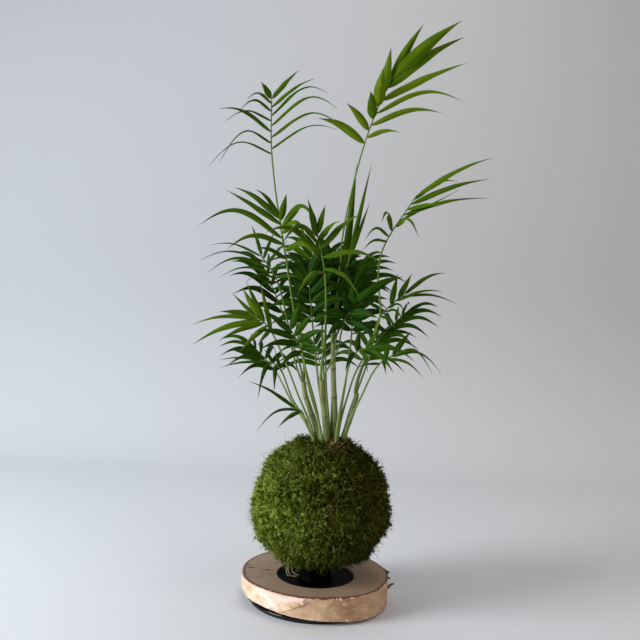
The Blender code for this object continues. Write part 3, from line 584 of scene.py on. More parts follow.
def shell(lines, steps, displace):
    """A closed bmesh turned from a line of (radius, height) round the ball's axis, its points then moved."""
    bm = bmesh.new()
    rings = []
    for radius, height in lines:
        ring = []
        for i in range(steps):
            turn = 2 * math.pi * i / steps
            outward = Vector((math.cos(turn), math.sin(turn), 0))
            spot = Vector((ball.x, axis_y, ball.z + height)) + outward * radius
            ring.append(bm.verts.new(spot + displace(spot, radius, height)))
        rings.append(ring)
    skin(bm, rings)
    bm.faces.new(rings[0])
    bm.faces.new(rings[-1])
    bmesh.ops.recalc_face_normals(bm, faces=bm.faces)
    return bm


def spheroid(radius, half_height, start, end, count):
    """(radius, height) along a spheroid's side, between two angles from its top, in degrees."""
    angles = [math.radians(start + (end - start) * i / (count - 1)) for i in range(count)]
    return [(radius * math.sin(a), half_height * math.cos(a)) for a in angles]


def from_top(radius, across):
    """The angle from a spheroid's top, in degrees, at which it is that far from its axis."""
    return math.degrees(math.asin(across / radius))


soil_low, soil_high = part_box("soil_ball")
soil_radius, soil_half = (soil_high.x - soil_low.x) / 2, ball_half_height - moss_thickness
neck = mouth_radius - fit
floor = soil_low.z - ball.z
side = spheroid(soil_radius, soil_half, from_top(soil_radius, neck), 148, 24)
side = [spot for spot in side if spot[1] > floor + 1 * MM]
lines = [(radius, crown.z - ball.z) for radius in (1 * MM, 6 * MM, 11 * MM, 16 * MM, 21 * MM, 25 * MM)]
lines += [(neck, crown.z - ball.z - 0.8 * MM)] + side
lines += [(soil_radius * math.sqrt(1 - (floor / soil_half) ** 2), floor), (1 * MM, floor)]


def crumble(spot, radius, height):
    """How far the soil's surface moves at a spot: crumbs on its top, lumps on its side."""
    if height > crown.z - ball.z - 0.1 * MM:
        return Vector((0, 0, lumps(spot, (160, 1.2 * MM), (420, 0.7 * MM)) - 0.4 * MM))
    if height < floor + 2 * MM:
        return Vector()
    outward = Vector((spot.x - ball.x, spot.y - axis_y, 0)).normalized()
    return outward * (lumps(spot, (120, 0.6 * MM)) - 0.5 * MM)


dark_soil, tree, shader = new_material("dark_soil", 0.95)
colour = ramp_of(
    tree, noise_on(tree, 900, 5, 0.7),
    ((0.35, (0.012, 0.008, 0.005)), (0.6, (0.035, 0.022, 0.013)), (0.78, (0.10, 0.065, 0.035))),
)
tree.links.new(colour, shader.inputs["Base Color"])
add_bump(tree, shader, noise_on(tree, 1100, 5, 0.7), 0.0008)
bm = shell(lines, 96, crumble)
piece_of("soil_pressed", mesh_of(bm, 60), dark_soil, "dark_soil", "soil_ball")


# ---- Moss ----
# Living sheet moss wrapped round the soil: a matted bed with thousands of fine curled shoots. It is
# bright green on its lit left and painted darker to the right, a painted shade, with browner dry
# patches mostly on the right and pale dry strands here and there.


def matted(spot, radius, height):
    """The bed's unevenness, none where it rests on the dish's seat."""
    rest = min(1.0, max(0.0, (height + ball_half_height * 0.9) / (8 * MM)))
    outward = Vector((spot.x - ball.x, spot.y - axis_y, height * 1.1)).normalized()
    return outward * (lumps(spot, (24, 4.4 * MM), (62, 4.0 * MM), (150, 3.0 * MM)) - 3.0 * MM) * rest


outer = spheroid(
    ball_radius, ball_half_height, from_top(ball_radius, mouth_radius),
    180 - from_top(ball_radius, flat_radius), 56,
)
inner_radius, inner_half = ball_radius - moss_thickness, ball_half_height - moss_thickness
floor = -(ball.z - ball_low.z) + moss_thickness
inner = spheroid(inner_radius, inner_half, 150, from_top(inner_radius, mouth_radius), 20)
inner = [spot for spot in inner if spot[1] > floor + 1 * MM]
bm = bmesh.new()
rings = []
bed_steps = 150
for index, (radius, height) in enumerate(outer + [(1 * MM, -(ball.z - ball_low.z)), (1 * MM, floor)] + inner):
    ring = []
    for i in range(bed_steps):
        angle = 2 * math.pi * i / bed_steps
        turn = Vector((math.cos(angle), math.sin(angle), 0))
        spot = ball + turn * radius + Vector((0, 0, height))
        moved = matted(spot, radius, height) if 0 < index < len(outer) else Vector()
        ring.append(bm.verts.new(spot + moved))
    rings.append(ring)
skin(bm, rings + rings[:1])
moss_bed_mesh = mesh_of(bm, 180, merge=False)


def moss_material(name, dark, mid, light, right_dark, right_mid, right_light, brown, roughness=0.85):
    """Moss that turns from one set of greens on its left to a darker set on its right, in patches: the darker
    right is painted shade.
    """
    made, tree, shader = new_material(name, roughness)
    shader.inputs["Specular IOR Level"].default_value = 0.05
    value = math_of(tree, "MULTIPLY", attribute(tree, "along"), 0.42)
    value = math_of(tree, "MULTIPLY_ADD", attribute(tree, "tint"), 0.62, value)
    left = ramp_of(tree, value, ((0.12, dark), (0.5, mid), (0.95, light)))
    right = ramp_of(tree, value, ((0.12, right_dark), (0.5, right_mid), (0.95, right_light)))
    spread = place_on(tree)
    # The darker greens on the right are painted shade, away from the key light on the left.
    across = math_of(tree, "MULTIPLY_ADD", spread["X"], 11.0, 0.58)
    across = math_of(
        tree, "MULTIPLY_ADD", noise_on(tree, 34, 3), 1.1, math_of(tree, "SUBTRACT", across, 0.55),
    )
    colour = mixed(tree, math_of(tree, "MULTIPLY", across, 1.0, clamp=True), left, right)
    patch = ramp_of(
        tree, noise_on(tree, 46, 3, 0.6, centre=(0.31, 0.7, 0.2)),
        ((0.57, (0, 0, 0)), (0.68, (0.7, 0.7, 0.7))),
    )
    dry = ramp_of(tree, value, ((0.1, tuple(0.3 * c for c in brown)), (0.9, tuple(1.5 * c for c in brown))))
    colour = mixed(
        tree, math_of(tree, "MULTIPLY", patch, math_of(tree, "MULTIPLY_ADD", across, 0.8, 0.25, clamp=True)),
        colour, dry,
    )
    # The moss is painted dark near the ball's foot and darker towards its top: both are painted shade, where
    # less light falls.
    painted_foot_shade = math_of(
        tree, "MULTIPLY_ADD", spread["Z"], 11.0, 0.35 - 11.0 * (ball.z - ball_half_height), clamp=True,
    )
    colour = mixed(tree, painted_foot_shade, (0.002, 0.003, 0.0005), colour)
    # Painted shade on the ball's top.
    upper = math_of(tree, "MULTIPLY_ADD", spread["Z"], 9.0, -9.0 * ball.z, clamp=True)
    colour = mixed(tree, math_of(tree, "MULTIPLY", upper, 0.75), colour, (0.012, 0.020, 0.001))
    tree.links.new(colour, shader.inputs["Base Color"])
    return made, tree, shader


moss_deep, tree, shader = moss_material(
    "moss_deep", (0.008, 0.012, 0.002), (0.022, 0.034, 0.005), (0.05, 0.075, 0.012),
    (0.006, 0.007, 0.002), (0.018, 0.02, 0.004), (0.04, 0.042, 0.01), (0.04, 0.026, 0.01),
)
add_bump(tree, shader, noise_on(tree, 1200, 4, 0.7), 0.0012)
piece_of("moss_bed", moss_bed_mesh, moss_deep, "green_moss", "moss_cover")


def vector_of(tree, operation, first, second=None, scale=None):
    """A Vector Math node's vector. The second input and the scale are a value, a socket or neither."""
    made = node(tree, "ShaderNodeVectorMath", operation=operation)
    tree.links.new(first, made.inputs[0])
    for key, value in ((1, second), ("Scale", scale)):
        if isinstance(value, bpy.types.NodeSocket):
            tree.links.new(value, made.inputs[key])
        elif value is not None:
            made.inputs[key].default_value = value
    return made.outputs[0]


def growth_tree(name, numbers, counts, grown_from=()):
    """(tree, its inputs, its result, its scattered points): strands or shoots grow where cover is 1."""
    tree = bpy.data.node_groups.new(name, "GeometryNodeTree")
    kinds = [("Ground", "Geometry"), *((named, "Object") for named in grown_from)]
    kinds += [*((named, "Float") for named in numbers), *((named, "Int") for named in counts)]
    for named, kind in (*kinds, ("Seed", "Int"), ("Finish", "Material")):
        tree.interface.new_socket(named, in_out="INPUT", socket_type="NodeSocket" + kind)
    tree.interface.new_socket("Moss", in_out="OUTPUT", socket_type="NodeSocketGeometry")
    given, result = node(tree, "NodeGroupInput", (-1600, 0)), node(tree, "NodeGroupOutput", (1800, 0))
    cover = node(tree, "GeometryNodeInputNamedAttribute", (-1400, -200), data_type="FLOAT")
    cover.inputs["Name"].default_value = "cover"
    density = math_of(tree, "MULTIPLY", given.outputs["Density"], cover.outputs["Attribute"])
    scatter = node(tree, "GeometryNodeDistributePointsOnFaces", (-1200, 0), distribute_method="RANDOM")
    tree.links.new(given.outputs["Ground"], scatter.inputs["Mesh"])
    tree.links.new(density, scatter.inputs["Density"])
    tree.links.new(given.outputs["Seed"], scatter.inputs["Seed"])
    return tree, given.outputs, result, scatter


def chance(tree, seed, kind, low, high, offset):
    """A random number or vector for each strand. The offset keeps it apart from the tree's others."""
    made = node(tree, "FunctionNodeRandomValue", data_type=kind)
    ends = [socket for socket in made.inputs if socket.enabled and socket.name in ("Min", "Max")]
    for socket, value in zip(ends, (low, high)):
        socket.default_value = value
    tree.links.new(math_of(tree, "ADD", seed, offset), made.inputs["Seed"])
    return [socket for socket in made.outputs if socket.enabled][0]


def planted_on(tree, scatter, shape, rotation, sizes):
    """A shape set on each scattered point, turned and scaled."""
    planted = node(tree, "GeometryNodeInstanceOnPoints")
    for socket, value in (
        ("Points", scatter.outputs["Points"]), ("Instance", shape), ("Rotation", rotation), ("Scale", sizes),
    ):
        tree.links.new(value, planted.inputs[socket])
    return planted.outputs[0]


def store(tree, geometry, name, value, domain):
    """Geometry with a value kept on it as an attribute."""
    made = node(tree, "GeometryNodeStoreNamedAttribute", data_type="FLOAT", domain=domain)
    made.inputs["Name"].default_value = name
    tree.links.new(geometry, made.inputs["Geometry"])
    tree.links.new(value, made.inputs["Value"])
    return made.outputs[0]


def end_tree(tree, given, geometry, result):
    """Ends a tree: its instances made real, and its material set."""
    whole = node(tree, "GeometryNodeRealizeInstances")
    tree.links.new(geometry, whole.inputs[0])
    finish = node(tree, "GeometryNodeSetMaterial")
    tree.links.new(whole.outputs[0], finish.inputs["Geometry"])
    tree.links.new(given["Finish"], finish.inputs["Material"])
    tree.links.new(finish.outputs[0], result.inputs[0])


def strand_tree():
    """Geometry Nodes that grow fine curled strands from a mesh, thickest where its cover is 1."""
    numbers = ("Density", "Length", "Spread", "Thickness", "Stand", "Fall", "Curl", "Curl Scale")
    tree, given, result, scatter = growth_tree("strands", numbers, ("Points", "Sides"))
    link = tree.links.new
    # Each strand leans its own way and a little the way its neighbours do.
    spot = node(tree, "GeometryNodeInputPosition")
    flow = node(tree, "ShaderNodeTexNoise")
    flow.inputs["Scale"].default_value = 45
    link(spot.outputs[0], flow.inputs["Vector"])
    flow_way = vector_of(tree, "SUBTRACT", flow.outputs["Color"], (0.5, 0.5, 0.5))
    own_way = chance(tree, given["Seed"], "FLOAT_VECTOR", (-1, -1, -1), (1, 1, 1), 11)
    lean = vector_of(tree, "ADD", vector_of(tree, "SCALE", flow_way, scale=2.6), own_way)
    stand = vector_of(tree, "SCALE", scatter.outputs["Normal"], scale=given["Stand"])
    down = node(tree, "ShaderNodeCombineXYZ")
    link(math_of(tree, "MULTIPLY", given["Fall"], -1.0), down.inputs["Z"])
    heading = vector_of(tree, "ADD", vector_of(tree, "ADD", lean, stand), down.outputs[0])
    turn = node(tree, "FunctionNodeAlignRotationToVector", axis="Z")
    link(heading, turn.inputs["Vector"])
    line = node(tree, "GeometryNodeCurvePrimitiveLine")
    line.inputs["End"].default_value = (0, 0, 1)
    divided = node(tree, "GeometryNodeResampleCurve")
    link(line.outputs[0], divided.inputs["Curve"])
    link(given["Points"], divided.inputs["Count"])
    varied = chance(tree, given["Seed"], "FLOAT", -1.0, 1.0, 23)
    length = math_of(tree, "MULTIPLY_ADD", varied, given["Spread"], 1.0)
    length = math_of(tree, "MULTIPLY", length, given["Length"])
    planted = planted_on(tree, scatter, divided.outputs[0], turn.outputs[0], length)

    def stored(name):
        made = node(tree, "GeometryNodeInputNamedAttribute", data_type="FLOAT")
        made.inputs["Name"].default_value = name
        return made.outputs["Attribute"]

    shoots = store(tree, planted, "tint", chance(tree, given["Seed"], "FLOAT", 0.0, 1.0, 37), "INSTANCE")
    single = node(tree, "GeometryNodeRealizeInstances")
    link(shoots, single.inputs[0])
    along = node(tree, "GeometryNodeSplineParameter").outputs["Factor"]
    shoots = store(tree, single.outputs[0], "along", along, "POINT")
    # The strand's free end curls more than its foot.
    curl = node(tree, "ShaderNodeTexNoise", noise_dimensions="4D")
    link(given["Curl Scale"], curl.inputs["Scale"])
    curl.inputs["Detail"].default_value = 1
    link(spot.outputs[0], curl.inputs["Vector"])
    link(math_of(tree, "MULTIPLY", stored("tint"), 7.0), curl.inputs["W"])
    bend = vector_of(tree, "SUBTRACT", curl.outputs["Color"], (0.5, 0.5, 0.5))
    reach = math_of(tree, "MULTIPLY", math_of(tree, "POWER", stored("along"), 1.3), given["Curl"])
    curled = node(tree, "GeometryNodeSetPosition")
    link(shoots, curled.inputs["Geometry"])
    sag = node(tree, "ShaderNodeCombineXYZ")
    fall = math_of(tree, "MULTIPLY", given["Fall"], given["Length"])
    sagging = math_of(tree, "MULTIPLY", math_of(tree, "POWER", stored("along"), 2.0), fall)
    link(math_of(tree, "MULTIPLY", sagging, -0.45), sag.inputs["Z"])
    offset = vector_of(tree, "ADD", vector_of(tree, "SCALE", bend, scale=reach), sag.outputs[0])
    link(offset, curled.inputs["Offset"])
    radius = node(tree, "GeometryNodeSetCurveRadius")
    link(curled.outputs[0], radius.inputs[0])
    taper = math_of(tree, "MULTIPLY_ADD", stored("along"), -0.7, 1.0)
    thickness = math_of(tree, "MULTIPLY", taper, given["Thickness"])
    link(math_of(tree, "MULTIPLY", thickness, 0.5), radius.inputs["Radius"])
    outline = node(tree, "GeometryNodeCurvePrimitiveCircle")
    link(given["Sides"], outline.inputs["Resolution"])
    outline.inputs["Radius"].default_value = 1
    solid = node(tree, "GeometryNodeCurveToMesh")
    link(radius.outputs[0], solid.inputs["Curve"])
    link(outline.outputs[0], solid.inputs["Profile Curve"])
    solid.inputs["Fill Caps"].default_value = True
    if "Scale" in solid.inputs:
        own = node(tree, "GeometryNodeInputRadius")
        link(own.outputs[0], solid.inputs["Scale"])
    end_tree(tree, given, solid.outputs[0], result)
    return tree


strands = strand_tree()


def grown(name, ground, finish, slot, *nodes, tree=strands, **sizes):
    """A piece that a node tree grows on a ground mesh."""
    carrier = bpy.data.objects.new(name + "_ground", ground)
    bpy.context.scene.collection.objects.link(carrier)
    modifier = carrier.modifiers.new("growth", "NODES")
    modifier.node_group = tree
    wanted = {key.replace("_", " ").title(): value for key, value in sizes.items()} | {"Finish": finish}
    for socket in tree.interface.items_tree:
        if socket.in_out == "INPUT" and socket.name in wanted:
            modifier[socket.identifier] = wanted[socket.name]
    bpy.context.view_layer.update()
    graph = bpy.context.evaluated_depsgraph_get()
    mesh = bpy.data.meshes.new_from_object(
        carrier.evaluated_get(graph), preserve_all_data_layers=True, depsgraph=graph,
    )
    bpy.data.objects.remove(carrier)
    mesh.shade_smooth()
    return piece_of(name, mesh, finish, slot, *nodes)


def ground_of(mesh, cover):
    """A copy of a mesh that strands grow on, its cover given at each point by a function."""
    made = mesh.copy()
    layer = made.attributes.new("cover", "FLOAT", "POINT")
    layer.data.foreach_set("value", [cover(vertex.co, vertex.normal) for vertex in made.vertices])
    return made


def outside(spot, normal):
    """1 on the bed's outer side, 0 within the ball and where it rests."""
    away = spot - ball
    beyond = (away.x / 61) ** 2 + (away.y / 61) ** 2 + (away.z / 56) ** 2 > 0.9 * MM**2
    grows = normal.dot(away) > 0 and beyond
    return grows * min(1.0, max(0.0, (away.z + ball_half_height * 0.86) / (7 * MM)))


moss_ground = ground_of(moss_bed_mesh, outside)
moss_dense, _, shader = moss_material(
    "moss_dense", (0.006, 0.012, 0.0004), (0.045, 0.085, 0.003), (0.19, 0.28, 0.022),
    (0.005, 0.007, 0.0003), (0.028, 0.036, 0.001), (0.085, 0.095, 0.006), (0.05, 0.032, 0.006),
)
moss_bright, _, shader = moss_material(
    "moss_bright", (0.026, 0.050, 0.001), (0.125, 0.215, 0.008), (0.62, 0.72, 0.14),
    (0.010, 0.016, 0.0005), (0.050, 0.062, 0.002), (0.20, 0.20, 0.030), (0.095, 0.062, 0.012),
)
for name, seed in (("moss_undergrowth_a", 3), ("moss_undergrowth_b", 4)):
    grown(
        name, moss_ground, moss_dense, "green_moss", density=185000, length=0.0040, spread=0.45,
        thickness=0.0015, stand=0.30, fall=0.0, curl=0.009, curl_scale=300, points=4, sides=3, seed=seed,
    )


def build_sprig():
    """One moss shoot, 1 long: a curved stem with ten small pointed leaves set round it in a spiral."""
    bm = bmesh.new()
    layer = bm.verts.layers.float.new("along")

    def axis(z):
        return Vector((0.16 * math.sin(z * 2.6), 0.05 * math.sin(z * 5), z))

    loops = []
    for i in range(4):
        z = i / 3
        ring = []
        for k in range(3):
            a = 2 * math.pi * k / 3
            vert = bm.verts.new(axis(z) + Vector((math.cos(a), math.sin(a), 0)) * 0.055 * (1 - 0.7 * z))
            vert[layer] = z * 0.6
            ring.append(vert)
        loops.append(ring)
    skin(bm, loops)
    bm.faces.new(loops[0][::-1])
    bm.faces.new(loops[-1])
    for leaf in range(10):
        z, a = 0.10 + 0.088 * leaf, 2.4 * leaf
        out = Vector((math.cos(a), math.sin(a), 0))
        side = Vector((-math.sin(a), math.cos(a), 0))
        size = 0.30 - 0.012 * leaf
        foot = axis(z)
        tip = foot + out * size + Vector((0, 0, size * 0.75))
        spots = (foot + side * 0.075, foot - side * 0.075, foot + Vector((0, 0, 0.09)), tip)
        verts = []
        for spot, share in zip(spots, (0.35, 0.35, 0.5, 1.0)):
            vert = bm.verts.new(spot)
            vert[layer] = share
            verts.append(vert)
        for face in ((0, 1, 2), (0, 3, 1), (1, 3, 2), (2, 3, 0)):
            bm.faces.new([verts[k] for k in face])
    bmesh.ops.recalc_face_normals(bm, faces=bm.faces)
    mesh = bpy.data.meshes.new("sprig")
    bm.to_mesh(mesh)
    bm.free()
    return mesh


def sprig_tree():
    """Geometry Nodes that lay moss shoots over a mesh, each leaning its own way and bent a little."""
    numbers = ("Density", "Length", "Spread", "Stand", "Bend")
    tree, given, result, scatter = growth_tree("sprigs", numbers, (), ("Shoot",))
    link = tree.links.new
    shoot = node(tree, "GeometryNodeObjectInfo")
    link(given["Shoot"], shoot.inputs["Object"])
    stand = vector_of(tree, "SCALE", scatter.outputs["Normal"], scale=given["Stand"])
    own_way = chance(tree, given["Seed"], "FLOAT_VECTOR", (-1, -1, -1), (1, 1, 1), 5)
    heading = vector_of(tree, "ADD", stand, own_way)
    turn = node(tree, "FunctionNodeAlignRotationToVector", axis="Z")
    link(heading, turn.inputs["Vector"])
    roll = node(tree, "FunctionNodeRotateRotation", rotation_space="LOCAL")
    link(turn.outputs[0], roll.inputs[0])
    spin = node(tree, "ShaderNodeCombineXYZ")
    link(chance(tree, given["Seed"], "FLOAT", 0.0, 6.28, 9), spin.inputs["Z"])
    link(spin.outputs[0], roll.inputs[1])
    varied = chance(tree, given["Seed"], "FLOAT", -1.0, 1.0, 13)
    length = math_of(tree, "MULTIPLY_ADD", varied, given["Spread"], 1.0)
    length = math_of(tree, "MULTIPLY", length, given["Length"])
    planted = planted_on(tree, scatter, shoot.outputs["Geometry"], roll.outputs[0], length)
    tinted = store(tree, planted, "tint", chance(tree, given["Seed"], "FLOAT", 0.0, 1.0, 17), "INSTANCE")
    whole = node(tree, "GeometryNodeRealizeInstances")
    link(tinted, whole.inputs[0])
    waves = node(tree, "ShaderNodeTexNoise")
    waves.inputs["Scale"].default_value = 210
    waves.inputs["Detail"].default_value = 1
    link(node(tree, "GeometryNodeInputPosition").outputs[0], waves.inputs["Vector"])
    centred = vector_of(tree, "SUBTRACT", waves.outputs["Color"], (0.5, 0.5, 0.5))
    bent = node(tree, "GeometryNodeSetPosition")
    link(whole.outputs[0], bent.inputs["Geometry"])
    link(vector_of(tree, "SCALE", centred, scale=given["Bend"]), bent.inputs["Offset"])
    end_tree(tree, given, bent.outputs[0], result)
    return tree


sprig = bpy.data.objects.new("sprig", build_sprig())
sprigs = sprig_tree()
for seed, letter in enumerate("abcde", 13):
    grown(
        "moss_shoots_" + letter, moss_ground, moss_bright, "green_moss", tree=sprigs, shoot=sprig,
        density=56000, length=0.0058, spread=0.45, stand=0.38, bend=0.0040, seed=seed,
    )
grown(
    "moss_curls", moss_ground, moss_bright, "green_moss", density=62000, length=0.0092, spread=0.4,
    thickness=0.0006, stand=0.5, fall=0.06, curl=0.024, curl_scale=180, points=8, sides=3, seed=21,
)
grown(
    "moss_hairs", moss_ground, moss_bright, "green_moss", density=62000, length=0.0078, spread=0.5,
    thickness=0.0005, stand=0.9, fall=0.04, curl=0.020, curl_scale=210, points=8, sides=3, seed=25,
)
pale_moss, tree, shader = new_material("pale_moss", 0.8)
shader.inputs["Specular IOR Level"].default_value = 0.2
tree.links.new(
    ramp_of(
        tree, attribute(tree, "tint"),
        ((0.0, (0.16, 0.19, 0.05)), (0.5, (0.32, 0.33, 0.13)), (1.0, (0.52, 0.48, 0.26))),
    ),
    shader.inputs["Base Color"],
)


def in_patches(spot, normal):
    """A cover for the bed's outside, thick in some patches and thin between them."""
    return outside(spot, normal) * (0.35 + 1.4 * max(0.0, noise.noise(spot * 40)))


grown(
    "moss_pale_strands", ground_of(moss_bed_mesh, in_patches), pale_moss, "green_moss", density=30000,
    length=0.0085, spread=0.5, thickness=0.0006, stand=0.35, fall=0.05, curl=0.020, curl_scale=190, points=7,
    sides=3, seed=31,
)


# Darker moss closes in round the stems, over the soil and the roots.
crown_ground = bpy.data.objects["soil_pressed"].data


def round_stems(spot, normal):
    """A cover for the soil's top, 0 where the stems stand and 1 at its edge."""
    on_top = float(spot.z > crown.z - 2.5 * MM)
    return on_top * min(1.0, max(0.0, ((spot - crown).xy.length - 9 * MM) / (9 * MM)))


grown(
    "moss_crown", ground_of(crown_ground, round_stems), moss_dense, "green_moss", density=900000,
    length=0.0085, spread=0.5, thickness=0.0011, stand=0.9, fall=0.0, curl=0.013, curl_scale=220, points=5,
    sides=3, seed=81,
)


def near(centre, reach):
    """A cover for strands that grow only on the bed's outside and near a point."""
    return lambda spot, normal: outside(spot, normal) * max(0.0, 1 - (spot - centre).length / reach)


left_patch = ball + Vector((-62, -16, 3)) * MM
grown(
    "moss_dry_patch", ground_of(moss_bed_mesh, near(left_patch, 13 * MM)), pale_moss, "green_moss",
    density=900000, length=0.008, spread=0.5, thickness=0.0006, stand=0.8, fall=0.6, curl=0.010,
    curl_scale=150, points=7, sides=3, seed=41,
)


def add_tube(bm, centres, radii, sides=8, facing=None, values=None):
    """A closed tube along a line of points, each ring with its radius and value."""
    layer = bm.verts.layers.float.get("tint") or bm.verts.layers.float.new("tint")
    loops = []
    for i, (centre, radius) in enumerate(zip(centres, radii)):
        ahead = (centres[min(i + 1, len(centres) - 1)] - centres[max(i - 1, 0)]).normalized()
        across = (facing or Vector((1, 0.2, 0.1))).cross(ahead).normalized()
        through = ahead.cross(across)
        ring = []
        for k in range(sides):
            a = 2 * math.pi * k / sides
            vert = bm.verts.new(centre + (across * math.cos(a) + through * math.sin(a)) * radius)
            vert[layer] = values[i] if values else 0.5
            ring.append(vert)
        loops.append(ring)
    skin(bm, loops)
    bm.faces.new(loops[0][::-1])
    bm.faces.new(loops[-1])


def curved(points, count):
    """Points spread along a smooth curve through the ones given."""
    made = []
    for first, start, end, last in zip(points, points[1:], points[2:], points[3:]):
        for step in range(count):
            t = step / count
            made.append(
                0.5 * (2 * start + (end - first) * t + (2 * first - 5 * start + 4 * end - last) * t * t
                       + (3 * start - first - 3 * end + last) * t ** 3)
            )
    return made


# A few long pale strands hang loose from the ball's foot at the front and curl over the dish.
hanging = Vector((-25, -29, 45))
bm = bmesh.new()
for start, *bends in (
    ((0, 0, 0), (-2, -6, -5), (1, -9, -11), (8, -11, -11), (17, -12, -15)),
    ((1, 0, 0), (2, -6, -6), (3, -9, -8), (10, -11, -10), (14, -12, -9)),
    ((-2, 1, 0), (-4, -5, -5), (-2, -9, -11), (0, -10, -11), (4, -11, -15)),
):
    line = [hanging + Vector(spot) for spot in ((start[0], start[1] + 2, start[2] + 3), start, *bends)]
    centres = [spot * MM for spot in curved(line, 6)]
    radii = [(0.34 - 0.20 * i / len(centres)) * MM for i in range(len(centres))]
    add_tube(bm, centres, radii, 6, None, [0.55 + 0.4 * i / len(centres) for i in range(len(centres))])
piece_of("moss_wisps", mesh_of(bm, 60), pale_moss, "green_moss")


# ---- Roots ----
# The fibrous husk round the stems' feet: brown roots and old sheath fibres that lie in a ring on the
# soil, and a tuft of them that spills over the moss in front of the clump.

root_low, root_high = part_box("root_mat")
ring_radius = (root_high.x - root_low.x) / 2 - 2 * MM
root_centre = Vector((ball.x, axis_y, (root_low.z + root_high.z) / 2))
bm = bmesh.new()
loops = []
ring_steps, ring_sides = 96, 10
for i in range(ring_steps):
    a = 2 * math.pi * i / ring_steps
    out = Vector((math.cos(a), math.sin(a), 0))
    thick = (1.7 + 0.5 * noise.noise(out * 6)) * MM
    centre = root_centre + out * (ring_radius + 0.5 * MM * noise.noise(out * 9))
    turns = [2 * math.pi * k / ring_sides for k in range(ring_sides)]
    loops.append([
        bm.verts.new(centre + (out * math.cos(b) + Vector((0, 0, 1)) * math.sin(b)) * thick) for b in turns
    ])
skin(bm, loops + loops[:1])
root_fibre, tree, shader = new_material("root_fibre", 0.8)
tree.links.new(
    ramp_of(
        tree, attribute(tree, "tint"),
        ((0.0, (0.09, 0.040, 0.012)), (0.55, (0.32, 0.17, 0.065)), (1.0, (0.70, 0.45, 0.22))),
    ),
    shader.inputs["Base Color"],
)
husk, tree, shader = new_material("husk", 0.9)
tree.links.new(
    ramp_of(tree, noise_on(tree, 700, 4, 0.7), ((0.35, (0.014, 0.009, 0.003)), (0.7, (0.06, 0.04, 0.014)))),
    shader.inputs["Base Color"],
)
add_bump(tree, shader, noise_on(tree, 1300, 3), 0.0005)
root_ring = mesh_of(bm, 180)
piece_of("root_ring", root_ring, husk, "brown_roots", "root_mat")
grown(
    "root_fibres", ground_of(root_ring, lambda s, n: 1.0 if n.z > -0.3 else 0.0), root_fibre, "brown_roots",
    density=380000, length=0.007, spread=0.5, thickness=0.0006, stand=0.3, fall=0.0, curl=0.010,
    curl_scale=140, points=7, sides=3, seed=61,
)
tuft = Vector((ball.x + 8 * MM, axis_y - 22 * MM, crown.z + 2 * MM))


def in_tuft(spot):
    """1 at the middle of the tuft of husk, 0 away from it."""
    return max(0.0, 1 - ((spot - tuft).xy.length / (12 * MM)) ** 2)


grown(
    "moss_collar", ground_of(root_ring, lambda s, n: float(n.z > 0.1 and in_tuft(s) < 0.25)), moss_dense,
    "green_moss", tree=sprigs, shoot=sprig, density=420000, length=0.0070, spread=0.4, stand=0.8, bend=0.003,
    seed=91,
)
bpy.data.objects.remove(sprig)
grown(
    "husk_tuft", ground_of(root_ring, lambda s, n: (n.z > -0.4) * in_tuft(s)), root_fibre, "brown_roots",
    density=1500000, length=0.008, spread=0.5, thickness=0.0007, stand=0.7, fall=0.3, curl=0.011,
    curl_scale=150, points=7, sides=3, seed=71,
)


# ---- Canes ----
# The parlour palm's thick stems: smooth pale green canes, ringed where old leaves stood, each with a
# papery brown sheath at its foot. They stand on the soil inside the ring of roots.

up = Vector((0, 0, 1))
cane_radius = 3.2 * MM
# Where each cane's foot stands, from the crown's centre, and its top, from the ground below the ball.
canes = {
    "cane_front": ((-1, -9), (-2, -17, 221)),
    "cane_back": ((7, 2), (8, 4, 257)),
    "cane_left": ((-9, 3), (-20, 7, 217)),
    "cane_right": ((14, -2), (33, -3, 209)),
}


def on_crown(x, y):
    """A point just above the crown, given in millimetres from its centre."""
    return crown + Vector((x, y, 0.3)) * MM


def from_ball_foot(point):
    """A point given in millimetres from the ground below the ball."""
    return Vector(point) * MM + Vector((0, axis_y, 0))


pale_cane, tree, shader = new_material("pale_cane", 0.42)
ringed = attribute(tree, "tint")
streaks = noise_on(tree, 260, 4, 0.6, stretch=(1, 1, 0.12))
cane_green = ramp_of(
    tree, streaks, ((0.3, (0.100, 0.125, 0.024)), (0.55, (0.195, 0.225, 0.062)), (0.8, (0.37, 0.38, 0.15))),
)
cane_colour = mixed(
    tree, ramp_of(tree, ringed, ((0.15, (1, 1, 1)), (0.5, (0, 0, 0)))), cane_green, (0.085, 0.058, 0.02),
)
tree.links.new(cane_colour, shader.inputs["Base Color"])
add_bump(tree, shader, streaks, 0.0002, 0.5)
shader.inputs["Subsurface Weight"].default_value = 0.08
shader.inputs["Subsurface Scale"].default_value = 0.002
nodes_up = (0.0, 0.22, 0.48, 0.76)  # where a cane is ringed, as shares of its height
rows = 44
for name, (foot, top) in canes.items():
    foot, top = on_crown(*foot), from_ball_foot(top)
    centres, radii, values = [], [], []
    for i in range(rows + 1):
        share = i / rows
        eased = share * share * (3 - 2 * share)
        place = foot.lerp(top, eased)
        place.z = foot.z + (top.z - foot.z) * share
        ring_near = min(abs(share - at) for at in nodes_up)
        swell = 0.10 * max(0.0, 1 - ring_near / 0.035)
        centres.append(place)
        radii.append(cane_radius * (0.94 - 0.16 * share + swell + 0.12 * max(0.0, 1 - share / 0.15)))
        values.append(0.2 if ring_near < 0.012 else (0.27 if share < 0.12 else 0.6))
    centres.append(top + up * 0.25 * MM)
    radii.append(cane_radius * 0.45)
    values.append(0.6)
    bm = bmesh.new()
    add_tube(bm, centres, radii, 16, None, values)
    piece_of(name + "_stem", mesh_of(bm, 60), pale_cane, "pale_cane", name)


# ---- Fronds ----
# The parlour palm's leaves. Each is one growth: a slender channelled petiole, the rachis it runs on
# into, and pairs of thin, pleated, drawn-out leaflets that arch from the rachis and meet at its tip.

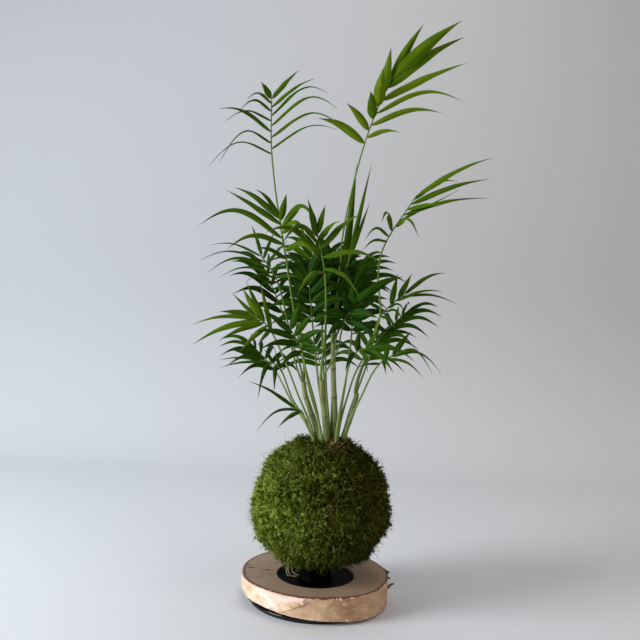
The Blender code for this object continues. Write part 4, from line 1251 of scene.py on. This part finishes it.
# A frond's line runs from its foot through the points given, in millimetres from the ground below the
# ball, the last two being its lowest leaflets and its rachis's end. A leaflet is (how far up the rachis
# it grows, where its tip is, its width, its arch as a share of its length).
fronds = {
    "frond_tall_left": dict(
        foot=("cane_left", 2), line=((-33, 11, 295), (-50, 14, 369), (-63, 16, 446), (-66, 18, 507)),
        facing=-90, upturn=0.4,
        leaflets=(
            (0.0, (-125, 2, 429), 3, 0.28), (0.08, (2, 0, 471), 4, 0.17), (0.18, (-114, 0, 433), 4, 0.38),
            (0.28, (6, 4, 476), 5, 0.25), (0.38, (-118, 8, 489), 5, 0.15), (0.49, (2, 8, 494), 4, 0.28),
            (0.58, (-110, 10, 475), 4, 0.22), (0.68, (-9, 12, 511), 4, 0.25), (0.76, (-95, 8, 487), 4, 0.3),
            (0.84, (-22, 14, 526), 5, 0.08), (0.91, (-91, 12, 500), 4, 0.35),
            (1.0, (-77, 10, 519), 8, 0.05), (1.0, (-39, 12, 533), 7, 0.04),
        ),
    ),
    "frond_tall_right": dict(
        foot=("cane_back", 0), line=((11, 4, 325), (14, 4, 377), (30, 2, 457), (54, -2, 527)),
        facing=-95, upturn=0.1,
        leaflets=(
            (0.0, (-17, -8, 479), 9, 0.1), (0.09, (65, -6, 469), 5, 0.12), (0.19, (10, -10, 495), 8, 0.06),
            (0.27, (105, -10, 489), 6, 0.12), (0.36, (33, -22, 504), 11, 0.06),
            (0.45, (124, -12, 501), 5, 0.17),
            (0.55, (44, -26, 526), 13, 0.04), (0.65, (126, -14, 538), 9, 0.03),
            (0.75, (52, -10, 552), 11, 0.0),
            (0.84, (124, -10, 565), 12, 0.06), (0.94, (119, -14, 576), 14, 0.05),
            (1.0, (84, -4, 579), 9, 0.03),
        ),
    ),
    "frond_spear": dict(
        foot=("cane_back", 2), line=((11, 9, 295), (16, 6, 325), (21, 0, 347)),
        facing=-70, upturn=0.0,
        leaflets=(
            (0.0, (24, 10, 441), 8, 0.0), (0.5, (38, -8, 438), 5, 0.0), (1.0, (38, -6, 399), 5, 0.0),
            (1.0, (30, 2, 397), 4, 0.0),
        ),
    ),
    "frond_right": dict(
        foot=("cane_right", 0),
        line=((45, -4, 257), (53, -6, 289), (49, -8, 327), (55, -10, 359), (84, -14, 408)),
        facing=-85, upturn=0.35,
        leaflets=(
            (0.0, (32, -22, 349), 4, 0.2), (0.12, (33, -26, 358), 4, 0.35), (0.25, (48, -34, 375), 7, 0.5),
            (0.36, (84, -32, 363), 7, 0.4), (0.48, (124, -16, 413), 3, 0.0), (0.6, (149, -26, 404), 6, 0.06),
            (0.71, (106, -34, 395), 6, 0.05), (0.82, (152, -20, 424), 7, 0.05),
            (0.92, (124, -6, 423), 5, 0.15),
            (1.0, (152, -12, 443), 8, 0.06), (1.0, (142, 4, 450), 4, 0.05),
        ),
    ),
    "frond_left_fine": dict(
        foot=("cane_left", 0), line=((-34, -1, 259), (-50, 0, 315), (-69, 3, 343)),
        facing=-100, upturn=0.4,
        leaflets=(
            (0.0, (-70, -14, 307), 4, 0.15), (0.12, (-82, -12, 313), 4, 0.2), (0.12, (-26, -14, 319), 6, 0.1),
            (0.28, (-107, -10, 318), 4, 0.15), (0.4, (-28, -12, 337), 6, 0.1), (0.5, (-120, -6, 322), 5, 0.2),
            (0.64, (-42, -6, 357), 6, 0.05), (0.75, (-125, -4, 334), 4, 0.15), (0.88, (-56, 4, 367), 5, 0.05),
            (1.0, (-119, 0, 350), 4, 0.12), (1.0, (-80, 8, 373), 5, 0.05),
        ),
    ),
    "frond_upper_left": dict(
        foot=(-8, -6), line=((-26, -14, 257), (-42, -18, 337), (-50, -24, 380)),
        facing=-80, upturn=0.3,
        leaflets=(
            (0.0, (-70, -40, 345), 7, 0.1), (0.14, (-10, -34, 337), 8, 0.3), (0.28, (-98, -36, 343), 7, 0.2),
            (0.42, (-127, -30, 365), 7, 0.25), (0.56, (-22, -56, 353), 9, 0.3),
            (0.7, (-14, -40, 370), 9, 0.5),
            (0.8, (-102, -28, 401), 8, 0.02), (0.9, (-43, -44, 397), 8, 0.04),
            (0.95, (-95, -22, 405), 8, 0.08),
            (1.0, (-76, -20, 401), 6, 0.05), (1.0, (-62, -26, 398), 5, 0.02),
        ),
    ),
    "frond_front_centre": dict(
        foot=("cane_front", 0), line=((-1, -24, 277), (-4, -30, 325), (-13, -38, 363)),
        facing=-85, upturn=0.45,
        leaflets=(
            (0.0, (-28, -74, 301), 9, 0.15), (0.08, (30, -70, 299), 9, 0.15),
            (0.24, (-76, -54, 350), 8, 0.25),
            (0.36, (48, -50, 336), 9, 0.14), (0.48, (-68, -46, 361), 9, 0.3), (0.6, (28, -56, 379), 10, 0.1),
            (0.72, (-44, -74, 345), 9, 0.3), (0.82, (8, -62, 371), 8, 0.1), (0.92, (-24, -40, 391), 10, 0.02),
            (1.0, (-33, -52, 391), 9, 0.02), (1.0, (-6, -52, 387), 7, 0.05),
        ),
    ),
    "frond_left_bright": dict(
        foot=(-14, -7), line=((-27, -16, 211), (-53, -26, 267), (-74, -32, 284)),
        facing=-75, upturn=0.2,
        leaflets=(
            (0.0, (-64, -44, 253), 6, 0.05), (0.0, (-66, -22, 313), 8, 0.02),
            (0.16, (-80, -46, 247), 8, 0.05),
            (0.32, (-102, -38, 256), 8, 0.05), (0.32, (-78, -34, 313), 10, 0.0),
            (0.48, (-126, -34, 251), 10, 0.08),
            (0.48, (-84, -26, 319), 12, 0.0), (0.64, (-130, -24, 270), 6, 0.08),
            (0.8, (-110, -36, 278), 7, 0.03),
            (0.8, (-92, -28, 302), 6, 0.0), (1.0, (-101, -44, 284), 8, 0.02),
            (1.0, (-107, -26, 293), 5, 0.04),
        ),
    ),
    "frond_left_low": dict(
        foot=(-13, 1), line=((-31, -3, 201), (-45, -5, 231), (-66, -8, 239)),
        facing=-95, upturn=0.3,
        leaflets=(
            (0.0, (-49, -10, 247), 5, 0.05), (0.16, (-48, -22, 208), 7, 0.12),
            (0.34, (-60, -12, 249), 5, 0.04),
            (0.5, (-64, -18, 200), 7, 0.2), (0.7, (-103, -14, 229), 4, 0.05),
            (0.88, (-92, -16, 247), 8, 0.04),
            (1.0, (-104, -6, 236), 4, 0.06), (1.0, (-86, 4, 253), 5, 0.04),
        ),
    ),
    "frond_lowest_left": dict(
        foot=(-12, -13), line=((-15, -16, 177), (-21, -19, 191), (-32, -22, 194)),
        facing=-90, upturn=0.4,
        leaflets=(
            (0.0, (-42, -36, 176), 7, 0.08), (0.3, (-62, -36, 172), 4, 0.2), (0.6, (-80, -32, 178), 4, 0.12),
            (0.6, (-73, -18, 217), 7, 0.06), (1.0, (-82, -24, 186), 4, 0.08),
        ),
    ),
    "frond_right_mid": dict(
        foot=("cane_right", 2), line=((46, 4, 257), (54, 6, 286), (78, 8, 311)),
        facing=-85, upturn=0.4,
        leaflets=(
            (0.0, (70, -14, 269), 6, 0.2), (0.2, (78, -12, 276), 4, 0.3), (0.2, (30, -2, 300), 6, 0.08),
            (0.38, (79, -8, 287), 4, 0.35), (0.5, (69, -2, 330), 8, 0.0), (0.7, (114, -10, 313), 5, 0.1),
            (0.8, (84, 4, 331), 8, 0.0), (0.9, (129, 0, 302), 4, 0.1), (1.0, (119, 8, 333), 6, 0.12),
        ),
    ),
    "frond_right_low": dict(
        foot=(14, -7), line=((40, -12, 213), (53, -16, 239), (69, -20, 251)),
        facing=-85, upturn=0.35,
        leaflets=(
            (0.0, (30, -34, 236), 4, 0.05), (0.2, (58, -38, 231), 4, 0.1), (0.4, (61, -28, 265), 7, 0.02),
            (0.5, (94, -36, 229), 4, 0.15), (0.75, (112, -32, 233), 4, 0.25), (0.85, (82, -24, 273), 8, 0.02),
            (1.0, (116, -22, 224), 4, 0.22), (1.0, (88, -6, 247), 5, 0.1),
        ),
    ),
    "frond_dark_centre": dict(
        foot=("cane_front", 1), line=((11, -24, 249), (16, -32, 277), (26, -40, 297)),
        facing=-75, upturn=0.3,
        leaflets=(
            (0.0, (0, -54, 263), 7, 0.1), (0.14, (44, -62, 267), 8, 0.1), (0.3, (-6, -50, 285), 8, 0.08),
            (0.44, (46, -64, 284), 9, 0.08), (0.6, (14, -58, 305), 9, 0.02), (0.74, (46, -58, 305), 8, 0.04),
            (0.88, (22, -48, 315), 9, 0.0), (1.0, (70, -40, 324), 9, 0.1), (1.0, (34, -60, 313), 7, 0.02),
        ),
    ),
    "frond_front_right": dict(
        foot=(7, -13), line=((20, -32, 221), (27, -42, 249), (42, -50, 257)),
        facing=-75, upturn=0.3,
        leaflets=(
            (0.0, (18, -72, 235), 6, 0.08), (0.2, (30, -54, 273), 7, 0.02), (0.35, (38, -80, 235), 6, 0.15),
            (0.6, (62, -70, 235), 8, 0.15), (0.75, (50, -58, 275), 6, 0.02), (1.0, (72, -62, 253), 8, 0.1),
            (1.0, (66, -50, 265), 6, 0.03),
        ),
    ),
    "frond_front_left": dict(
        foot=(-6, -17), line=((-15, -32, 217), (-22, -40, 249), (-34, -48, 271)),
        facing=-100, upturn=0.35,
        leaflets=(
            (0.0, (-42, -66, 233), 7, 0.12), (0.1, (4, -64, 247), 7, 0.1), (0.3, (-60, -68, 251), 8, 0.1),
            (0.4, (0, -60, 271), 8, 0.08), (0.6, (-66, -62, 267), 8, 0.08), (0.7, (-12, -60, 287), 8, 0.02),
            (0.85, (-60, -56, 287), 8, 0.04), (1.0, (-26, -62, 295), 8, 0.0), (1.0, (-46, -64, 295), 7, 0.0),
        ),
    ),
    "frond_mid_left": dict(
        foot=(-3, -1), line=((-6, 0, 221), (-14, 4, 277), (-20, 2, 325)), facing=-95, upturn=0.3,
        pairs=6, length=40, width=9, spread=(78, 30), droop=0.6,
    ),
    "frond_mid_centre": dict(
        foot=(1, 5), line=((2, 12, 221), (0, 14, 281), (4, 10, 337)), facing=-80, upturn=0.3,
        pairs=6, length=42, width=9, spread=(78, 30), droop=0.6,
    ),
    "frond_mid_right": dict(
        foot=(8, -6), line=((22, 1, 221), (26, 6, 270), (24, 4, 316)), facing=-85, upturn=0.3,
        pairs=6, length=38, width=8, spread=(78, 30), droop=0.6,
    ),
    "frond_back_tall": dict(
        foot=(-3, 12), line=((-3, 22, 255), (-6, 30, 307), (-16, 42, 347)), facing=95, upturn=0.4,
        pairs=6, length=52, width=8, spread=(80, 30), droop=0.7,
    ),
    "frond_back_left": dict(
        foot=(-11, 9), line=((-30, 24, 235), (-46, 38, 285), (-66, 56, 327)), facing=140, upturn=0.4,
        pairs=5, length=54, width=8, spread=(80, 30), droop=0.7,
    ),
    "frond_back_right": dict(
        foot=("cane_back", 1), line=((18, 20, 283), (22, 34, 309), (30, 54, 335)), facing=60, upturn=0.4,
        pairs=6, length=48, width=8, spread=(80, 30), droop=0.7,
    ),
    "frond_back_left_low": dict(
        foot=(-15, 5), line=((-34, 24, 197), (-52, 40, 225), (-76, 60, 247)), facing=140, upturn=0.4,
        pairs=5, length=46, width=7, spread=(80, 30), droop=0.8,
    ),
    "frond_back_right_low": dict(
        foot=(9, 12), line=((28, 30, 211), (40, 46, 239), (58, 66, 265)), facing=55, upturn=0.4,
        pairs=5, length=46, width=7, spread=(80, 30), droop=0.8,
    ),
    "frond_back_low": dict(
        foot=(2, 15), line=((0, 34, 201), (-4, 52, 231), (-12, 82, 253)), facing=100, upturn=0.4,
        pairs=5, length=44, width=7, spread=(80, 30), droop=0.8,
    ),
    "frond_back_mid": dict(
        foot=(3, 9), line=((10, 30, 257), (12, 44, 299), (16, 70, 337)), facing=85, upturn=0.4,
        pairs=5, length=50, width=8, spread=(80, 30), droop=0.7,
    ),
    "frond_right_back": dict(
        foot=(15, 5), line=((42, 20, 231), (56, 30, 263), (82, 46, 289)), facing=35, upturn=0.4,
        pairs=5, length=46, width=7, spread=(80, 30), droop=0.8,
    ),
}

# How much of its leaflets' room each frond's blades take, 0.78 for the rest, and how bright a
# yellow-green it is, from 0, the old dark leaves, to 1, the youngest, 0.3 for the rest. The fronds in
# the middle of the clump are set near 0 as painted shade, for the shade that falls among the leaves.
slimness = {
    "frond_tall_right": 0.9, "frond_tall_left": 0.9, "frond_spear": 0.9, "frond_left_bright": 0.62,
    "frond_left_fine": 0.66,
    "frond_left_low": 0.62, "frond_lowest_left": 0.62, "frond_right_low": 0.68, "frond_right_mid": 0.7,
    "frond_mid_left": 1.15, "frond_mid_centre": 1.15, "frond_mid_right": 1.15, "frond_dark_centre": 1.0,
    "frond_back_mid": 1.1,
}
brightness = {
    "frond_tall_left": 0.5, "frond_tall_right": 0.72, "frond_spear": 0.62, "frond_right": 0.6,
    "frond_left_fine": 0.3,
    "frond_upper_left": 0.56, "frond_front_centre": 0.55, "frond_left_bright": 0.68, "frond_left_low": 0.25,
    # frond_dark_centre and the three middle fronds are set dark: painted shade for the clump's shaded middle.
    "frond_lowest_left": 0.3, "frond_right_mid": 0.36, "frond_right_low": 0.4, "frond_dark_centre": 0.12,
    "frond_mid_left": 0.14, "frond_mid_centre": 0.12, "frond_mid_right": 0.12,
    "frond_front_right": 0.28, "frond_front_left": 0.22,
}
petiole_half, rachis_tip_half, leaflet_foot = 1.0 * MM, 0.6 * MM, 1.8 * MM
ways_round = [
    (move, share, arch)
    for share in (1, 0.88, 0.76, 0.62)
    for arch in (0, 0.08, -0.08)
    for move in (0, 8, -8, 16, -16, 26, -26)
]


def smooth_line(knots, first_tangent):
    """A function from 0 to the last knot's number that passes smoothly through the knots."""
    tangents = [first_tangent]
    for before, after in zip(knots, knots[2:]):
        tangents.append((after - before) / 2)
    tangents.append(knots[-1] - knots[-2])

    def at(t):
        i = min(int(t), len(knots) - 2)
        u = t - i
        return (
            knots[i] * (2 * u**3 - 3 * u**2 + 1) + tangents[i] * (u**3 - 2 * u**2 + u)
            + knots[i + 1] * (-2 * u**3 + 3 * u**2) + tangents[i + 1] * (u**3 - u**2)
        )

    return at


def frond_line(frond):
    """(line, first, last): the frond's line, and where on it its blade starts and ends."""
    where, place = frond["foot"]
    if where in canes:
        angle = 2 * math.pi * place / 3 + math.radians(210)
        foot = from_ball_foot(canes[where][1]) + Vector(
            (1.9 * math.cos(angle), 1.9 * math.sin(angle), 0.3)
        ) * MM
    else:
        foot = on_crown(where, place)
    knots = [foot] + [from_ball_foot(point) for point in frond["line"]]
    return smooth_line(knots, up * (knots[1] - knots[0]).length), len(knots) - 2, len(knots) - 1


def facing_of(frond):
    """The level way that a frond's upper side faces."""
    angle = math.radians(frond["facing"])
    return Vector((math.cos(angle), math.sin(angle), 0))


def frame_at(frond, t):
    """(tangent, right-hand side, upper face) of a frond at t on its line."""
    line, _, last = frond_line(frond)
    tangent = up if t == 0 else (line(min(t + 0.01, last)) - line(max(t - 0.01, 0))).normalized()
    face = facing_of(frond)
    face = (face - tangent * face.dot(tangent)).normalized()
    return tangent, tangent.cross(face), face


def stem_half(frond, t):
    """Half the stem's thickness at t on a frond's line."""
    return petiole_half + (rachis_tip_half - petiole_half) * t / frond_line(frond)[2]


def rachis_at(frond, at):
    """The place on a frond's line that is that share up its rachis."""
    _, first, last = frond_line(frond)
    return first + (last - first) * (0.03 + 0.94 * at)


def leaflets_of(frond):
    """The frond's leaflets as (at, tip, width, arch) in metres: those listed, or even pairs."""
    if "leaflets" in frond:
        return [(at, from_ball_foot(tip), width * MM, arch) for at, tip, width, arch in frond["leaflets"]]
    line = frond_line(frond)[0]
    pairs, (low, high), made = frond["pairs"], frond["spread"], []
    for pair in range(pairs):
        at = pair / (pairs - 1)
        t = rachis_at(frond, at)
        tangent, side, _ = frame_at(frond, t)
        spread = math.radians(low + (high - low) * at)
        length = frond["length"] * MM * (0.72 + 0.45 * math.sin(math.pi * (0.25 + 0.6 * at)))
        for hand in (-1, 1):
            heading = tangent * math.cos(spread) + side * hand * math.sin(spread)
            tip = line(t) + heading * length * (1 - 0.03 * hand) - up * length * frond["droop"] * 0.35
            made.append((at, tip, frond["width"] * MM, 0.1 + 0.12 * frond["droop"]))
    return made


def leaflet_path(frond, leaflet, way, steps):
    """A leaflet's centre line as (point, across, through) for each step from its foot to its tip."""
    at, tip, _, arch = leaflet
    move, share, more_arch = way
    line = frond_line(frond)[0]
    t = rachis_at(frond, at)
    _, side, face = frame_at(frond, t)
    outward = side if (tip - line(t)).dot(side) > 0 else -side
    foot = line(t) + outward * stem_half(frond, t)
    tip = foot + (tip - foot) * share + facing_of(frond) * move * MM
    rise = up * (tip - foot).length * (arch + more_arch if arch else 0)
    normal = face.lerp(up, frond["upturn"]).normalized()

    def point(along):
        return foot.lerp(tip, along) + rise * math.sin(math.pi * along**1.15)

    path = [(foot, face.cross(outward), face)]
    for step in range(1, steps + 1):
        along = step / steps
        ahead = (point(min(along + 1 / 24, 1)) - point(along - 1 / 24 if along > 1 / 24 else 0)).normalized()
        through = (normal - ahead * normal.dot(ahead)).normalized()
        path.append((point(along), through.cross(ahead), through))
    return path


def corners(centre, across, through, half_across, half_through):
    """The four corners of a section."""
    signs = ((1, 1), (1, -1), (-1, -1), (-1, 1))
    return [centre + across * half_across * a + through * half_through * b for a, b in signs]


def blade_width(share, widest):
    """A leaflet's width: narrow at its foot, widest before the middle, and drawn out to a point."""
    swell = math.sin(math.pi * share**0.62) ** 0.8 if 0 < share < 1 else 0
    return 0.9 * MM + 0.9 * MM * (1 - share) ** 3 + (widest - 0.9 * MM) * swell


def tube_tree(rings):
    """A closed tube of four-cornered sections, ready to test against others."""
    points = [corner for ring in rings for corner in ring]
    faces = [
        (4 * i + j, 4 * i + (j + 1) % 4, 4 * i + 4 + (j + 1) % 4, 4 * i + 4 + j)
        for i in range(len(rings) - 1) for j in range(4)
    ]
    return BVHTree.FromPolygons(points, faces + [(0, 1, 2, 3), tuple(range(len(points) - 4, len(points)))])


def settle():
    """{frond: [(leaflet, way)]}: the way that each leaflet takes round those already there."""
    blocked = {}
    for name, frond in fronds.items():
        line, first, last = frond_line(frond)
        spots = [i / 3 for i in range(3 * first)]
        foot = leaflet_foot / (line(last) - line(first)).length
        for at in sorted({leaflet[0] for leaflet in leaflets_of(frond)}):
            spots += [rachis_at(frond, at) - foot / 2, rachis_at(frond, at) + foot / 2]
        rings = []
        for t in spots:
            _, side, face = frame_at(frond, t)
            rings.append(corners(line(t), side, face, stem_half(frond, t), stem_half(frond, t)))
        blocked[name] = tube_tree(rings)
    for name, (foot, top) in canes.items():
        around = cane_radius + 0.5 * MM
        ends = (on_crown(*foot), from_ball_foot(top))
        blocked[name] = tube_tree(
            [corners(place, Vector((1, 0, 0)), Vector((0, 1, 0)), around, around) for place in ends]
        )
    taken, settled = [], {name: [] for name in fronds}
    for name, frond in fronds.items():
        others = [tree for other, tree in blocked.items() if other != name]
        for leaflet in leaflets_of(frond):
            spans = 3 if leaflet[3] >= 0.1 else 2
            for way in ways_round:
                path = leaflet_path(frond, leaflet, way, 12)
                rings = [corners(*path[0], leaflet_foot / 2, rachis_tip_half)]
                for span in range(1, spans + 1):
                    wide = blade_width(span / spans, leaflet[2]) + 0.5 * MM
                    rings.append(corners(*path[round(12 * span / spans)], wide / 2, 0.65 * MM))
                tree = tube_tree(rings)
                if not any(tree.overlap(other) for other in others + taken):
                    taken.append(tree)
                    settled[name].append((leaflet, way))
                    break
    return settled


def add_leaflet(bm, path, width, seed, bright):
    """A thin pleated blade round a leaflet's centre line, closed all round."""
    tint, blade = bm.verts.layers.float.get("tint"), bm.verts.layers.float.get("blade")
    uv = bm.loops.layers.uv.get("veins")
    rng = random.Random(seed)
    steps, half_cells = len(path) - 1, 4
    turn, wave, _ = rng.uniform(-0.35, 0.35), rng.uniform(0, 6), rng.uniform(0.0, 1.0)
    own = min(1.0, max(0.0, bright + rng.uniform(-0.12, 0.12)))
    shares = [k / half_cells for k in range(-half_cells, half_cells + 1)]
    loops, places = [], {}
    for i, (point, across, through) in enumerate(path):
        share = i / steps
        swell = math.sin(math.pi * share**0.66) ** 1.05 if 0 < share < 1 else 0
        half = 0.5 * (
            0.12 * MM + 1.5 * MM * (1 - share) ** 3 + (width - 0.12 * MM) * swell * (1 - 0.25 * share**3)
        )
        thick = (0.16 + 0.5 * (1 - share) ** 6) * MM
        angle = turn * math.sin(math.pi * share * 0.9)
        axis_across = across * math.cos(angle) + through * math.sin(angle)
        axis_through = through * math.cos(angle) - across * math.sin(angle)
        upper, lower = [], []
        for share_across in shares:
            fold = (0.30 - 0.42 * abs(share_across) ** 1.15) * half
            pleat = 0.035 * half * math.cos(share_across * math.pi * 4)
            ripple = 0.10 * half * abs(share_across) * math.sin(
                share * 17 + wave + (2 if share_across > 0 else 0)
            )
            spot = point + axis_across * half * share_across + axis_through * (fold + pleat + ripple)
            edge = abs(share_across) == 1
            top = bm.verts.new(spot + axis_through * (0.0 if edge else thick))
            upper.append(top)
            if edge:
                lower.append(top)
            else:
                lower.append(bm.verts.new(spot - axis_through * thick))
            for vert in {upper[-1], lower[-1]}:
                vert[tint], vert[blade] = own, 1.0
                places[vert] = ((share_across + 1) / 2, share)
        loops.append(upper + lower[-2:0:-1])
    for face in (*skin(bm, loops), bm.faces.new(loops[0][::-1]), bm.faces.new(loops[-1])):
        for loop in face.loops:
            loop[uv].uv = places[loop.vert]


palm_leaf, tree, shader = new_material("palm_leaf", 0.46)
shader.inputs["Specular IOR Level"].default_value = 0.05
tint, blade = attribute(tree, "tint"), attribute(tree, "blade")
map_of_leaf = node(tree, "ShaderNodeUVMap", (-1600, -100), uv_map="veins")
uv = node(tree, "ShaderNodeSeparateXYZ", (-1400, -100))
tree.links.new(map_of_leaf.outputs[0], uv.inputs[0])
mottle = noise_on(tree, 60, 4, 0.6)
value = math_of(tree, "MULTIPLY_ADD", mottle, 0.30, math_of(tree, "SUBTRACT", tint, 0.15))
blade_green = ramp_of(
    tree, value,
    (
        (0.0, (0.006, 0.030, 0.001)), (0.3, (0.022, 0.070, 0.001)), (0.6, (0.058, 0.115, 0.001)),
        (1.0, (0.150, 0.225, 0.006)),
    ),
)
# The midrib is paler, fine veins run along the blade, and the very tip is drying.
off_middle = math_of(tree, "ABSOLUTE", math_of(tree, "SUBTRACT", uv.outputs["X"], 0.5))
midrib = math_of(tree, "SUBTRACT", 1.0, math_of(tree, "MULTIPLY", off_middle, 16.0), clamp=True)
blade_green = mixed(tree, math_of(tree, "MULTIPLY", midrib, 0.45), blade_green, (0.11, 0.19, 0.015))
veins = math_of(
    tree, "MULTIPLY_ADD", math_of(tree, "SINE", math_of(tree, "MULTIPLY", uv.outputs["X"], 75.0)), 0.5, 0.5,
)
blade_green = mixed(tree, math_of(tree, "MULTIPLY", veins, 0.16), blade_green, (0.02, 0.055, 0.003))
dry_tip = math_of(tree, "MULTIPLY", math_of(tree, "SUBTRACT", uv.outputs["Y"], 0.955), 22.0, clamp=True)
blade_green = mixed(tree, math_of(tree, "MULTIPLY", dry_tip, 0.8), blade_green, (0.17, 0.13, 0.035))
# A stem is paler lower down.
raised = math_of(tree, "SUBTRACT", place_on(tree)["Z"], 0.15)
low_down = math_of(tree, "SUBTRACT", 1.0, math_of(tree, "MULTIPLY", raised, 7.5), clamp=True)
stem_green = ramp_of(tree, value, ((0.0, (0.05, 0.10, 0.012)), (1.0, (0.17, 0.26, 0.04))))
stem_green = mixed(tree, low_down, stem_green, (0.23, 0.30, 0.10))
tree.links.new(mixed(tree, blade, stem_green, blade_green), shader.inputs["Base Color"])
add_bump(tree, shader, veins, 0.00012, 0.6)
add_bump(tree, shader, mottle, 0.0004, 0.3)

settled = settle()
for number, (name, frond) in enumerate(fronds.items()):
    line, first, last = frond_line(frond)
    bright = brightness.get(name, 0.3)
    bm = bmesh.new()
    bm.verts.layers.float.new("tint")
    bm.verts.layers.float.new("blade")
    bm.loops.layers.uv.new("veins")
    reach = rachis_at(frond, 1.0) + 0.02
    count = 16 * last
    spots = [reach * i / count for i in range(count + 1)]
    radii = []
    for t in spots:
        if frond["foot"][0] in canes:
            sheath = 0.25 * MM * max(0.0, 1 - t * 5)
        else:
            sheath = 0.9 * MM * max(0.0, 1 - t / (0.35 * first))
        radii.append(stem_half(frond, t) * (1.12 if t < first else 1.0) + sheath)
    radii[-1] *= 0.5
    add_tube(bm, [line(t) for t in spots], radii, 8, facing_of(frond), [bright] * len(spots))
    for index, (leaflet, way) in enumerate(settled[name]):
        width = leaflet[2] * slimness.get(name, 0.78)
        add_leaflet(bm, leaflet_path(frond, leaflet, way, 20), width, 100 * number + index, bright)
    piece_of(name + "_leaf", mesh_of(bm, 70, merge=False), palm_leaf, "palm_leaf", name)


# ---- Setting ----
# A sheet of pale studio paper that sweeps up behind the plant, a soft key light from the left, a weak
# fill from the right and a light above, and the camera.

bm = bmesh.new()
rows = [(-1.6, 0.0), (0.55, 0.0)]
rows += [
    (0.55 + 0.35 * math.sin(a), 0.35 - 0.35 * math.cos(a))
    for a in (math.pi / 2 * i / 16 for i in range(1, 17))
]
rows += [(0.9, 2.6)]
edges = [[bm.verts.new((x, y, z)) for x in (-2.6, 2.6)] for y, z in rows]
for first, second in zip(edges, edges[1:]):
    bm.faces.new((first[0], first[1], second[1], second[0]))
bmesh.ops.recalc_face_normals(bm, faces=bm.faces)
sweep_mesh = bpy.data.meshes.new("sweep")
bm.to_mesh(sweep_mesh)
bm.free()
sweep_mesh.shade_smooth()
sweep = bpy.data.objects.new("studio_sweep", sweep_mesh)
bpy.context.scene.collection.objects.link(sweep)
paper_sweep, tree, shader = new_material("sweep_paper", 0.9)
# The paper is painted lighter low down and cooler on the left, warmer on the right: painted light, for the
# light that falls there.
spread = place_on(tree)
rightwards = math_of(tree, "MULTIPLY_ADD", spread["X"], 1.1, 0.5, clamp=True)
painted_low_light = math_of(tree, "MULTIPLY_ADD", spread["Z"], -2.2, 1.0, clamp=True)
painted_low_light = math_of(tree, "MULTIPLY", painted_low_light, painted_low_light)
paper_high = mixed(tree, rightwards, (0.50, 0.515, 0.545), (0.535, 0.520, 0.515))
paper_low = mixed(tree, rightwards, (0.66, 0.70, 0.745), (0.70, 0.69, 0.70))
tree.links.new(mixed(tree, painted_low_light, paper_high, paper_low), shader.inputs["Base Color"])
sweep_mesh.materials.append(paper_sweep)


def add_light(name, place, target, size, power, colour):
    """A round soft light that points at its target."""
    light = bpy.data.lights.new(name, "AREA")
    light.shape = "DISK"
    light.size, light.energy, light.color = size, power, colour
    obj = bpy.data.objects.new(name, light)
    obj.location = place
    obj.rotation_euler = (Vector(target) - Vector(place)).to_track_quat("-Z", "Y").to_euler()
    bpy.context.scene.collection.objects.link(obj)


add_light("key", (-1.3, -0.55, 0.59), (0, 0, 0.25), 0.7, 26, (0.94, 0.975, 1.0))
add_light("fill", (1.3, -1.1, 0.7), (0, 0, 0.2), 1.2, 5, (1.0, 0.92, 0.84))
add_light("top", (0.1, 0.1, 1.6), (0, 0, 0.2), 0.9, 6, (1, 0.99, 0.97))
world = bpy.data.worlds.new("studio")
world.use_nodes = True
world.node_tree.nodes["Background"].inputs["Color"].default_value = (0.86, 0.88, 0.90, 1)
world.node_tree.nodes["Background"].inputs["Strength"].default_value = 0.25
bpy.context.scene.world = world
bpy.context.scene.view_settings.view_transform = "Standard"

camera = bpy.data.cameras.new("camera")
camera.sensor_width, camera.lens = 36, 39.7
camera_object = bpy.data.objects.new("camera", camera)
camera_object.location = (-0.0065, -0.715, 0.280)
camera_object.rotation_euler = (math.radians(90), math.radians(-2.5), 0)
bpy.context.scene.collection.objects.link(camera_object)
bpy.context.scene.camera = camera_object
